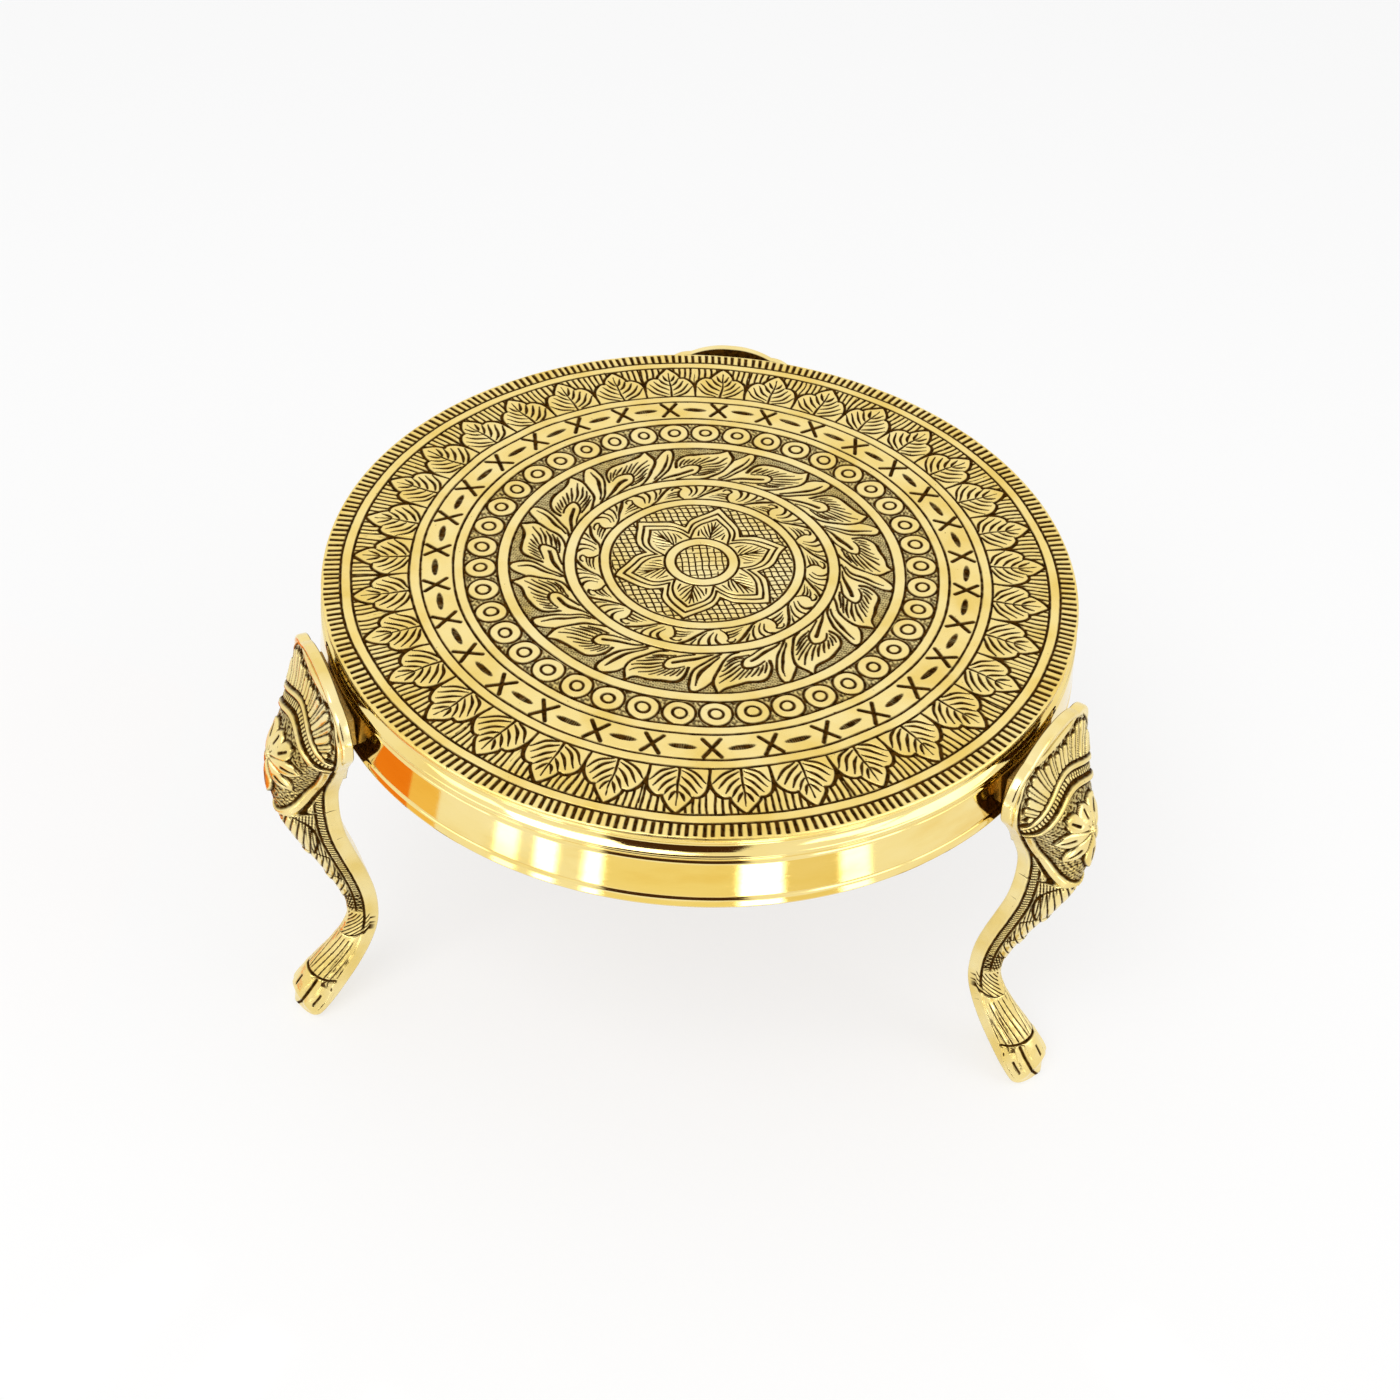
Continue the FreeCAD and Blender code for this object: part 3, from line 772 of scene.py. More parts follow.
def add_grain(tree, shader, grain, rough_stops, bump):
    """Roughness, and a bump where there is one, that follow the same grain."""
    texture = noise(tree, *grain)
    link(tree, ramp(tree, texture, "Fac", rough_stops), "Color", shader, "Roughness")
    if bump:
        strength, distance = bump
        relief = new_node(tree, "Bump", [("Strength", strength), ("Distance", distance)])
        link(tree, texture, "Fac", relief, "Height")
        link(tree, relief, "Normal", shader, "Normal")


def warmed_land(tree, edge_tint):
    """Bare brass in clouds, tinted towards the edge of the top."""
    land = ramp(tree, noise(tree, *LAND_CLOUD), "Fac", LAND_STOPS)
    place = new_node(tree, "TexCoord")
    reach = new_node(tree, "VectorMath", operation="LENGTH")
    link(tree, place, "Object", reach, "Vector")
    share = new_node(tree, "Math", [(1, TOP_RADIUS * MM)], operation="DIVIDE")
    link(tree, reach, "Value", share, 0)
    tint = ramp(tree, share, "Value", ((RIM_WARMTH_START, WHITE), (1.0, edge_tint)))
    warmed = new_node(tree, "Mix", [("Factor", 1.0)], data_type="RGBA", blend_type="MULTIPLY")
    link(tree, land, "Color", warmed, "A")
    link(tree, tint, "Color", warmed, "B")
    return warmed


def engraved_brass(name, roughness, edge_tint=WHITE):
    """Brass whose cuts hold dark brown patina, read from the mesh's own patina, which on the head plates'
    backs is painted shade.
    """
    material, tree, shader = node_setup(name)
    patina = new_node(tree, "Attribute", attribute_name="patina")
    dirt = ramp(tree, noise(tree, *DIRT_SPECKS), "Fac", DIRT_STOPS)
    mix = new_node(tree, "Mix", data_type="RGBA")
    link(tree, ramp(tree, patina, "Fac", STAIN_STOPS), "Color", mix, "Factor")
    link(tree, warmed_land(tree, edge_tint), "Result", mix, "A")
    link(tree, dirt, "Color", mix, "B")
    link(tree, mix, "Result", shader, "Base Color")
    set_values(shader, [("Specular IOR Level", 0.0)])
    link(tree, ramp(tree, patina, "Fac", BARE_STOPS), "Color", shader, "Metallic")
    rough_stops = [(place, roughness + shift) for place, shift in ENGRAVED_ROUGHNESS_SHIFTS]
    add_grain(tree, shader, ENGRAVED_GRAIN, rough_stops, ENGRAVED_BUMP)
    return material


def bare_metal(name, cloud, colour_stops, grain, rough_stops, bump=None):
    """Metal without patina: its clouds of colour and its grain."""
    material, tree, shader = node_setup(name)
    colour = ramp(tree, noise(tree, *cloud), "Fac", colour_stops)
    link(tree, colour, "Color", shader, "Base Color")
    set_values(shader, [("Metallic", 1.0)])
    add_grain(tree, shader, grain, rough_stops, bump)
    return material


def polished_brass(name):
    """Mirror-polished brass with faint turning lines round the wall and cloudy tarnish."""
    return bare_metal(name, POLISHED_CLOUD, POLISHED_STOPS, TURNING_MARKS, POLISHED_ROUGHNESS_STOPS,
                      POLISHED_BUMP)


def cast_brass(name):
    """Unpolished casting of the underside: duller, browner and slightly grainy."""
    return bare_metal(name, CAST_CLOUD, CAST_STOPS, CAST_GRAIN, CAST_ROUGHNESS_STOPS, CAST_BUMP)


def screw_steel(name):
    """Plated steel of the screws and washers, with a little dust."""
    return bare_metal(name, STEEL_CLOUD, STEEL_STOPS, STEEL_CLOUD, STEEL_ROUGHNESS_STOPS)


# Drum. Profiles are (radius, height) points in millimetres.

LIP_FLAT = 0.35
LIP_EDGE_RISE = 0.08
EDGE_SOFT = 0.12
COVE_POWER = 0.8
BEAD_SWELL = 0.28
FOOT_SWELL = 0.10
GROOVE_FLOOR = 0.05
BASE_ROUND = 0.6
SEAT_INSETS = (1.0, 0.05)
SEAT_DROPS = (-0.02, 0.3)
BASE_LIFT = 0.002
SEAM_DROP = 0.4
SKIN_GAP = 0.05
AXIS_GAP = 0.05
SWAY_WAVELENGTH = 12.0
SWAY_MARGIN = 1.0
UNDERSIDE_SWAY = 0.12
BEVEL_STEPS = 4
# Runs of points along the profiles: start, end and count
COVE_RUN = (0, 1, 17)
BEAD_RUN = (0.12, 0.88, 7)
BAND_RUN = (0.03, 0.97, 26)
FOOT_RUN = (0.1, 0.85, 8)
BASE_ARC = (-10, -90, 6)
INNER_RUN = (0.1, 1, 12)
FILLET_ARC = (8, 90, 8)
CEILING_STEPS = 30


def wall_radius(z):
    return TOP_RADIUS - (BASE_RADIUS - TOP_RADIUS) * z / DRUM_HEIGHT


def arc_points(centre, radius, run):
    """Points of an arc in the (radius, height) plane, angles in degrees."""
    return [(centre[0] + radius * math.cos(t), centre[1] + radius * math.sin(t))
            for t in np.radians(np.linspace(*run))]


def spaced(top, bottom, run):
    """Even steps between two shares of the way from top to bottom, as heights and shares."""
    return [(top + (bottom - top) * t, t) for t in np.linspace(*run)]


def groove_points(top, bottom):
    """Turned groove between two heights, down to its lower edge."""
    middle = (top + bottom) / 2
    deep = wall_radius(middle) - BAND_GROOVE_DEPTH
    return [(deep, middle + GROOVE_FLOOR), (deep, middle - GROOVE_FLOOR),
            (wall_radius(bottom) - EDGE_SOFT, bottom)]


def wall_profile():
    """Outer edge of the drum from the lip to the base."""
    lip_bottom = -LIP_HEIGHT
    cove_bottom = lip_bottom - COVE_HEIGHT
    bead_bottom = cove_bottom - BEAD_HEIGHT
    band_top = bead_bottom - BAND_GROOVE_WIDTH
    foot_top = -DRUM_HEIGHT + FOOT_BAND_HEIGHT
    band_bottom = foot_top + BAND_GROOVE_WIDTH
    points = [(TOP_RADIUS, -LIP_ROUND), (TOP_RADIUS, lip_bottom + LIP_FLAT),
              (TOP_RADIUS - EDGE_SOFT, lip_bottom + LIP_EDGE_RISE)]
    for z, t in spaced(lip_bottom, cove_bottom, COVE_RUN):
        depth = COVE_DEPTH * math.sin(math.pi * t) ** COVE_POWER
        points.append((wall_radius(z) * t + TOP_RADIUS * (1 - t) - depth, z))
    for z, t in spaced(cove_bottom, bead_bottom, BEAD_RUN):
        points.append((wall_radius(z) - BEAD_SWELL * (1 - math.sin(math.pi * t)), z))
    points += groove_points(bead_bottom, band_top)
    points += [(wall_radius(z), z) for z, _ in spaced(band_top, band_bottom, BAND_RUN)]
    points += [(wall_radius(band_bottom) - EDGE_SOFT, band_bottom)] + groove_points(band_bottom, foot_top)
    for z, t in spaced(foot_top, -DRUM_HEIGHT, FOOT_RUN):
        points.append((wall_radius(z) + FOOT_SWELL * math.sin(math.pi * t), z))
    centre = (BASE_RADIUS - FOOT_BAND_ROUND, -DRUM_HEIGHT + FOOT_BAND_ROUND)
    return points + arc_points(centre, FOOT_BAND_ROUND, BASE_ARC)


def inner_profile():
    """Inside of the drum from the base up the wall, round the fillet and along under the top."""
    inner_base = BASE_RADIUS - WALL_THICKNESS
    inner_top = TOP_RADIUS - WALL_THICKNESS - COVE_DEPTH
    ceiling = -TOP_THICKNESS
    points = [(inner_base + BASE_ROUND, -DRUM_HEIGHT), (inner_base, -DRUM_HEIGHT + BASE_ROUND)]
    for z, t in spaced(-DRUM_HEIGHT, ceiling - INNER_FILLET, INNER_RUN):
        points.append((inner_base + (inner_top - inner_base) * t, z))
    points += arc_points((inner_top - INNER_FILLET, ceiling - INNER_FILLET), INNER_FILLET, FILLET_ARC)
    radii = np.linspace(inner_top - INNER_FILLET, AXIS_GAP, CEILING_STEPS)[1:]
    return points + [(radius, ceiling) for radius in radii]


def lathe(name, profile, material, salt, sway):
    """Closed turned solid from a closed profile of (radius, height) points."""
    ring = np.arange(WALL_SEGMENTS)
    angles = ring / WALL_SEGMENTS * 2 * math.pi
    radii, heights = [np.array(column)[:, None] + np.zeros(WALL_SEGMENTS) for column in zip(*profile)]
    x, y = flat(radii, angles)
    free = (heights > -TOP_THICKNESS - SWAY_MARGIN) * (heights < -SKIN_DEPTH - SWAY_MARGIN)
    heights = heights + sway * ripple(x, y, SWAY_WAVELENGTH, salt) * free
    points = np.stack([x, y, heights], -1).reshape(-1, 3)
    last = (len(profile) - 1) * WALL_SEGMENTS
    closing = np.stack([last + ring, ring, np.roll(ring, -1), last + np.roll(ring, -1)], -1)
    return make_object(name, points, [grid_faces(len(profile), WALL_SEGMENTS, True), closing], material)


def rounded_block(name, low, high, rounding, azimuth, material):
    """Block with rounded edges between two corners, turned to an azimuth."""
    bpy.ops.mesh.primitive_cube_add(size=1)
    made = bpy.context.object
    made.name = name
    made.data.name = name
    low, high = Vector(low) * MM, Vector(high) * MM
    made.data.transform(Matrix.Translation((low + high) / 2) @ Matrix.Diagonal((*(high - low), 1)))
    bevel = made.modifiers.new("edges", "BEVEL")
    bevel.width = rounding * MM
    bevel.segments = BEVEL_STEPS
    bpy.ops.object.modifier_apply(modifier="edges")
    made.data.transform(Matrix.Rotation(math.radians(azimuth), 4, "Z"))
    made.data.polygons.foreach_set("use_smooth", [True] * len(made.data.polygons))
    made.data.materials.clear()
    made.data.materials.append(material)
    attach(made, "root")
    return made


# Bands of the top: name, shares of the radius, spacing of the mesh, engraving and arc
BANDS = (
    ("top_hub", (0.0008, 0.0990), 0.13, hub, (0.0, FULL_TURN)),
    ("top_flower", (0.0990, 0.2740), 0.2, flower, (0.0, FULL_TURN)),
    ("top_scrolls", (0.2740, 0.3670), 0.22, scrolls, (0.0, FULL_TURN)),
    ("top_feathers", (0.3670, 0.5120), 0.26, feathers, (0.0, FULL_TURN)),
    ("top_beads", (0.5120, 0.6590), 0.3, beads, (0.0, FULL_TURN)),
    ("top_crosses", (0.6590, 0.7730), 0.34, crosses, (0.0, FULL_TURN)),
    ("top_leaves_front", LEAF_SPAN_SHARES, 0.27, leaves, (180.0, FULL_TURN)),
    ("top_leaves_back", LEAF_SPAN_SHARES, 0.27, leaves, (0.0, 180.0)),
    ("top_rim", (0.9235, 1.0), 0.3, rim, (0.0, FULL_TURN)),
)


def make_drum(engraved, polished, cast):
    """The top's bands, the wall, the underside and the pads, all in the drum's casting."""
    pieces = [band_piece(*band, engraved) for band in BANDS]
    base_seam = (BASE_RADIUS - WALL_THICKNESS / 2, -DRUM_HEIGHT)
    top_seam = TOP_RADIUS - WALL_THICKNESS / 2 - COVE_DEPTH / 2
    wall = [(TOP_RADIUS - SEAT_INSETS[0], -SKIN_DEPTH - SEAT_DROPS[0]),
            (TOP_RADIUS - SEAT_INSETS[1], -LIP_ROUND - SEAT_DROPS[1])] + wall_profile()
    wall += [(base_seam[0], base_seam[1] + BASE_LIFT), (top_seam, -SKIN_DEPTH - SEAM_DROP)]
    pieces.append(lathe("drum_wall", wall, polished, 91, 0.0))
    under = [base_seam] + inner_profile()
    under += [(radius, -SKIN_DEPTH - SKIN_GAP) for radius in (AXIS_GAP, top_seam)]
    pieces.append(lathe("drum_underside", under, cast, 93, UNDERSIDE_SWAY))
    thick, wide, tall = PAD_SIZE
    low = (TOP_RADIUS - WALL_THICKNESS - thick, -wide / 2, -PAD_DROP - tall / 2)
    high = (TOP_RADIUS - WALL_THICKNESS / 2, wide / 2, -PAD_DROP + tall / 2)
    for leg, azimuth in LEG_AZIMUTHS.items():
        pieces.append(rounded_block("drum_pad_" + leg, low, high, PAD_ROUND, azimuth, cast))
    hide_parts("top_drum")


# Legs

SPINE_STEPS = 12


def leg_tables():
    """Evenly spaced stations down the leg: length along the spine, place, direction, half width and depth."""
    drop = np.array(DROP_SHARES) * LEG_HEIGHT
    reach = np.array(REACH_SHARES) * LEG_HEIGHT
    runs = np.concatenate([[0], np.cumsum(np.hypot(np.diff(drop), np.diff(reach)))])
    even = np.linspace(0, runs[-1], LEG_STATIONS)

    def eased(values):
        fine = curve_points(np.stack([runs, values], -1), SPINE_STEPS)
        return np.interp(even, fine[:, 0], fine[:, 1])

    down, out = eased(drop), eased(reach)
    half = eased(np.array(WIDTH_SHARES) * HEAD_WIDTH / 2)
    depth = eased(np.array(DEPTH_SHARES) * KNEE_DEPTH)
    along = np.stack([np.gradient(out), -np.gradient(down)], -1)
    along /= np.linalg.norm(along, axis=1, keepdims=True)
    normal = np.stack([-along[:, 1], along[:, 0]], -1)
    return even, out, down, normal, half, depth


# Ornament of the leg's front, in millimetres: down from the head's top, side from the crest and
# inner from the edge. Limits are where a slope starts and ends. Widths are those of line_at.

LEG_CRUMB_LIMITS = (-0.3, 0.7)
LEG_CRUMB_RIPPLE = (1.35, 101)
CRUMB_CUTS = (0.25, 0.5)
BORDER_INSET = 2.0
BORDER_WIDTH = (0.2, 0.65)
BORDER_END = (118, 124)
EDGE_RAISE = 0.35
EDGE_LIMITS = (1.4, 2.1)
ARCH_SLOPE, ARCH_SOFTNESS, ARCH_OFFSET = 0.47, 30.0, 5.5


class Chasing:
    """Cuts and raised ground of the leg's front, built up mark by mark."""

    def __init__(self, across, down, edge):
        self.across, self.down, self.edge = across, down, edge
        self.side = np.abs(across)
        self.inner = edge - self.side
        self.arched = down - ARCH_SLOPE * (np.sqrt(self.side ** 2 + ARCH_SOFTNESS) - ARCH_OFFSET)
        self.crumbs = smooth(*LEG_CRUMB_LIMITS, ripple(across, down, *LEG_CRUMB_RIPPLE))
        self.cut = np.zeros_like(across)
        self.raised = np.zeros_like(across)

    def carve(self, mark):
        """Cuts a mark where it goes deeper than what is there."""
        self.cut = np.maximum(self.cut, mark)


def chase_border(work):
    """Line beside the smooth raised edge."""
    work.carve(line_at(work.inner - BORDER_INSET, BORDER_WIDTH) * fading(*BORDER_END, work.down))
    work.raised += EDGE_RAISE * fading(*EDGE_LIMITS, work.inner)


PALMETTE_END = (9.6, 10.2)
PALMETTE_SIDE = (2.2, 2.9)
PALMETTE_TOP = (1.0, 1.8)
FAN_CENTRE = 26.0
FAN_NARROWING = 0.92
FAN_PITCH = 7.2
FAN_BEND = 0.22
FAN_BEND_START = 16.0
FAN_TOP_ROOM = 1.2
FAN_INSET = 2.9
FAN_STEP = 1.1
FAN_TIP_DEPTH, FAN_TIP_POWER = 9.0, 2.2
FAN_SOFTNESS = 0.5
FAN_GAP_WIDTH = (0.05, 0.135)
FAN_GAP_START = (3.0, 6.0)
FAN_RIB_WIDTH = (0.03, 0.09)
FAN_RIB_START = (8.0, 12.0)
FAN_RIB_DEPTH = 0.8
FAN_EDGE_WIDTH = (0.25, 0.7)
FAN_RAISE = (0.3, 0.35)


def chase_palmette(work):
    """Fan of leaves on the head, on a stippled ground."""
    ground = fading(*PALMETTE_END, work.arched) * smooth(*PALMETTE_SIDE, work.inner)
    ground = ground * smooth(*PALMETTE_TOP, work.down)
    x, y = work.side * FAN_NARROWING, FAN_CENTRE - work.down
    length = np.hypot(x, y)
    turn = (np.degrees(np.arctan2(x, y)) + FAN_BEND * (length - FAN_BEND_START)) / FAN_PITCH
    place = (turn + 0.5) % 1 - 0.5
    index = np.round(turn)
    room = np.minimum(work.inner, work.down + FAN_TOP_ROOM) - FAN_INSET - FAN_STEP * (index % 2)
    shape = room - FAN_TIP_DEPTH * np.abs(place) ** FAN_TIP_POWER
    in_leaf = smooth(0.0, FAN_SOFTNESS, shape)
    gaps = fading(*FAN_GAP_WIDTH, 0.5 - np.abs(place)) * smooth(*FAN_GAP_START, length)
    ribs = line_at(place, FAN_RIB_WIDTH) * smooth(*FAN_RIB_START, length) * (index % 2 == 0)
    work.carve(ground * in_leaf * np.maximum(gaps, FAN_RIB_DEPTH * ribs))
    work.carve(ground * line_at(shape, FAN_EDGE_WIDTH))
    work.carve(ground * (1 - in_leaf) * (CRUMB_CUTS[0] + CRUMB_CUTS[1] * work.crumbs))
    work.raised += ground * in_leaf * (FAN_RAISE[0] + FAN_RAISE[1] * np.cos(np.pi * place))


LADDER_TOP, LADDER_BOTTOM = 10.4, 17.4
LADDER_RIDGES = (LADDER_TOP + 0.9, LADDER_BOTTOM - 0.9)
LADDER_RIDGE_HEIGHT = 0.7
LADDER_RIDGE_WIDTH = (0.5, 1.3)
LADDER_RIDGE_SIDE = (1.6, 2.4)
LADDER_LINES = (LADDER_TOP - 0.3, LADDER_TOP + 2.1, LADDER_BOTTOM - 2.1, LADDER_BOTTOM + 0.4)
LADDER_LINE_WIDTH = (0.3, 0.75)
LADDER_LINE_SIDE = (1.5, 2.2)
LADDER_START = (LADDER_TOP + 2.0, LADDER_TOP + 2.3)
LADDER_END = (LADDER_BOTTOM - 2.3, LADDER_BOTTOM - 2.0)
LADDER_SIDE = (2.0, 2.6)
LADDER_LEAN = 0.35
LADDER_RUNGS = (1.5, 0.34)


def chase_ladder(work):
    """Ladder band between two ridges, arched a little over the crest."""
    for ridge in LADDER_RIDGES:
        work.raised += (LADDER_RIDGE_HEIGHT * line_at(work.arched - ridge, LADDER_RIDGE_WIDTH)
                        * smooth(*LADDER_RIDGE_SIDE, work.inner))
    for line in LADDER_LINES:
        work.carve(line_at(work.arched - line, LADDER_LINE_WIDTH) * smooth(*LADDER_LINE_SIDE, work.inner))
    between = within(work.arched, LADDER_START, LADDER_END) * smooth(*LADDER_SIDE, work.inner)
    work.carve(between * lines(work.side + LADDER_LEAN * work.down, *LADDER_RUNGS))


MEDALLION_START, MEDALLION_TALL, MEDALLION_CENTRE = 30.0, 23.0, 30.5
MEDALLION_END = MEDALLION_START + MEDALLION_TALL
MEDALLION_INSET = 3.9
MEDALLION_POWER = 2.2
MEDALLION_STEEPEST = 6.0
MEDALLION_TOP = (LADDER_BOTTOM + 0.3, LADDER_BOTTOM + 0.8)
RIDGE_HEIGHT = 0.85
RIDGE_WIDTH = (0.8, 1.7)
OUTER_LINE_SHIFT, OUTER_LINE_WIDTH, OUTER_LINE_END = 2.3, (0.35, 0.95), (58, 59)
INNER_LINE_SHIFT, INNER_LINE_WIDTH = -1.75, (0.2, 0.6)
FIELD_LIMITS = (1.5, 2.0)
FIELD_CUTS = (0.25, 0.6)
FIELD_DROP = 0.3


def chase_medallion(work):
    """Ridge round a stippled ground. Gives the distance outside the ridge and the ground."""
    below = np.clip((work.down - MEDALLION_START) / MEDALLION_TALL, 0, 1)
    half = (work.edge - MEDALLION_INSET) * np.sqrt(np.clip(1 - below ** MEDALLION_POWER, 0, 1))
    slope = np.gradient(half[:, 0], work.down[:, 0])[:, None]
    steep = np.sqrt(1 + np.minimum(np.abs(slope), MEDALLION_STEEPEST) ** 2)
    away = (work.side - half) / steep
    tip = np.hypot(work.side, work.down - MEDALLION_START - MEDALLION_TALL)
    closed = np.where(work.down > MEDALLION_END, tip, away)
    under = smooth(*MEDALLION_TOP, work.arched)
    work.raised += RIDGE_HEIGHT * line_at(closed, RIDGE_WIDTH) * under
    outer = line_at(closed - OUTER_LINE_SHIFT, OUTER_LINE_WIDTH) * fading(*OUTER_LINE_END, work.down)
    inner = line_at(closed - INNER_LINE_SHIFT, INNER_LINE_WIDTH) * (work.down < MEDALLION_END)
    work.carve(under * np.maximum(outer, inner))
    field = smooth(*FIELD_LIMITS, -away) * under * (work.down < MEDALLION_END - 1.0)
    work.carve(field * (FIELD_CUTS[0] + FIELD_CUTS[1] * work.crumbs))
    work.raised -= FIELD_DROP * field
    return closed, field


ROSETTE_PITCH = 45.0
ROSETTE_REACHES = (9.5, 12.0, 14.5, 15.0, 15.5)
ROSETTE_START = 0.6
ROSETTE_PETAL = (3.5, 1.6, 0.8, 0.12)
ROSETTE_FADE = (-0.35, 0.2)
ROSETTE_RIM_WIDTH = (0.2, 0.65)
ROSETTE_RIM_DEPTH = 0.95
ROSETTE_RIM_REACH = 0.3
SLIT_HALF = (0.5, 0.45)
SLIT_FADE = (0.35, 0.8)
SLIT_START, SLIT_END = (0.45, 0.52), (0.80, 0.88)
EYE_LIMITS = (1.0, 1.7)
EYE_LINE_START = 1.5
PETAL_HEIGHT, EYE_HEIGHT = 1.2, 0.9
FIELD_DEEP, FIELD_THIN = 0.2, 0.05
PETAL_THINNEST = 0.3


def chase_rosette(work, field):
    """Flower of eight domed petals round an eye, standing on the medallion's ground."""
    x, y = work.across, work.down - MEDALLION_CENTRE
    turn = np.degrees(np.arctan2(x, -y))
    away = np.hypot(x, y)
    index = np.round(turn / ROSETTE_PITCH)
    off = np.radians(np.abs(turn - ROSETTE_PITCH * index))
    reach = np.choose(np.abs(index).astype(int), ROSETTE_REACHES)
    along, aside = flat(away, off)
    t = np.clip(along / reach, 0, 1)
    wide, skew, fullness, least = ROSETTE_PETAL
    half = wide * np.sin(np.pi * t ** skew) ** fullness + least
    petal = fading(*ROSETTE_FADE, aside - half) * (along < reach) * (away > ROSETTE_START)
    rim_line = line_at(aside - half, ROSETTE_RIM_WIDTH) * (along < reach + ROSETTE_RIM_REACH)
    slit = fading(*SLIT_FADE, aside / (SLIT_HALF[0] + SLIT_HALF[1] * np.sin(np.pi * t)))
    slit = slit * within(t, SLIT_START, SLIT_END)
    eye = fading(*EYE_LIMITS, away)
    work.cut = work.cut * (1 - np.maximum(petal, eye))
    marks = np.maximum(rim_line * ROSETTE_RIM_DEPTH, slit)
    work.carve(marks * (away > EYE_LINE_START) * (field > FIELD_DEEP))
    dome = np.clip(1 - (aside / np.maximum(half, PETAL_THINNEST)) ** 2, 0, 1) ** 0.5
    work.raised += PETAL_HEIGHT * petal * dome * (field > FIELD_THIN) + EYE_HEIGHT * eye


MEDALLION_GAP = 2.6
SHIN_GAP = (0.4, 1.0)
SHIN_START, SHIN_END = (40, 44), (110, 112)
STRIP_START, STRIP_END = (2.1, 2.5), (4.2, 4.6)
STRIP_LEAN, STRIP_RUNGS = 0.6, (1.35, 0.36)
STRIP_LINE, STRIP_LINE_WIDTH = 4.8, (0.25, 0.7)
SHIN_MIDDLE = (5.2, 5.7)
SHIN_LEAVES = ((52.0, 75.0, 11.0), (70.0, 92.0, 9.5), (86.0, 104.0, 8.0))
SHIN_LEAF_SKEW, SHIN_LEAF_POWER = 0.7, 0.8
SHIN_LEAF_EDGE = (0.0, 0.5)
SHIN_VEIN_LEAN, SHIN_VEIN_BEND = 1.3, 0.03
SHIN_VEINS, SHIN_VEIN_START = (4.0, 0.5), (0.5, 0.9)
SHIN_CREST_WIDTH = (0.2, 0.55)
SHIN_OUTLINE_WIDTH = (0.3, 0.8)
SHIN_RAISE = (0.35, 0.25)
SHIN_GROUND_LEANS, SHIN_GROUND = (0.5, 1.2), (1.25, 0.34)
SHIN_GROUND_FADE, SHIN_GROUND_DEPTH = (0.1, 0.3), 0.9
ANKLE_LINES, ANKLE_LINE_START, ANKLE_LINE_STEP, ANKLE_LINE_BEND = 5, 102.5, 1.9, 0.25
ANKLE_LINE_WIDTH, ANKLE_LINE_SIDE = (0.25, 0.65), (2.2, 2.8)


def chase_shin(work, closed):
    """Ladder strips beside the edges, feathered leaves in the middle and lines above the ankle."""
    side, down, inner = work.side, work.down, work.inner
    shin = smooth(*SHIN_GAP, closed - MEDALLION_GAP) * within(down, SHIN_START, SHIN_END)
    strip = shin * within(inner, STRIP_START, STRIP_END)
    work.carve(strip * lines(down - STRIP_LEAN * side, *STRIP_RUNGS))
    work.carve(shin * line_at(inner - STRIP_LINE, STRIP_LINE_WIDTH))
    middle = shin * smooth(*SHIN_MIDDLE, inner)
    for start, stop, wide in SHIN_LEAVES:
        share = np.clip((down - start) / (stop - start), 0, 1)
        half = wide * np.sin(np.pi * share ** SHIN_LEAF_SKEW) ** SHIN_LEAF_POWER
        room = middle * (down > start) * (down < stop)
        leaf = room * smooth(*SHIN_LEAF_EDGE, half - side)
        vein = lines(down + SHIN_VEIN_LEAN * side + SHIN_VEIN_BEND * side ** 2, *SHIN_VEINS)
        vein = vein * smooth(*SHIN_VEIN_START, side)
        work.cut = work.cut * (1 - leaf)
        work.carve(leaf * np.maximum(vein, fading(*SHIN_CREST_WIDTH, side)))
        work.carve(room * line_at(side - half, SHIN_OUTLINE_WIDTH))
        across = np.cos(np.pi * np.clip(side / np.maximum(half, 0.5), 0, 1))
        work.raised += leaf * (SHIN_RAISE[0] + SHIN_RAISE[1] * across)
    ground = lines(down * SHIN_GROUND_LEANS[0] + SHIN_GROUND_LEANS[1] * side, *SHIN_GROUND)
    work.carve(middle * ground * fading(*SHIN_GROUND_FADE, work.raised) * SHIN_GROUND_DEPTH)
    for k in range(ANKLE_LINES):
        ring = down - ANKLE_LINE_START - ANKLE_LINE_STEP * k + ANKLE_LINE_BEND * side
        work.carve(line_at(ring, ANKLE_LINE_WIDTH) * smooth(*ANKLE_LINE_SIDE, inner))


ANKLE_START, ANKLE_END = (112, 113), (128, 129)
LOBE_WIDE, LOBE_START, LOBE_TALL = 10.5, 113.0, 15.0
LOBE_EDGE, LOBE_OUTLINE_WIDTH = (0.0, 0.5), (0.3, 0.75)
LOBE_LEANS, LOBE_LINES, LOBE_LINE_START = (0.8, 1.5), (2.2, 0.4), (0.6, 1.0)
TENDON_START, TENDON_END, TENDON_SIDE = (128, 130), (148, 150), (2.0, 2.8)
TENDON_COUNT, TENDON_SPREAD, TENDON_TOP = 9.0, 0.06, 130.0
TENDON_LINES, TENDON_DEPTH = (1.5, 0.2), 0.8
PAW_START = (149, 151)
TOE_SHARE, TOE_LINE_WIDTH = 0.40, (0.25, 0.8)
TOE_RAISE, TOE_RAISE_LIMITS, TOE_SINK = 0.9, (0.0, 2.4), 0.6
PAW_LINE, PAW_LINE_BEND, PAW_LINE_WIDTH, PAW_LINE_SIDE = 150.0, 0.03, (0.3, 0.8), (1.0, 1.6)
NAIL_SHARES, NAIL_WIDTH = (0.0, 0.70), (0.2, 0.65)
NAIL_START, NAIL_END = (153.5, 154.5), (158.5, 160)


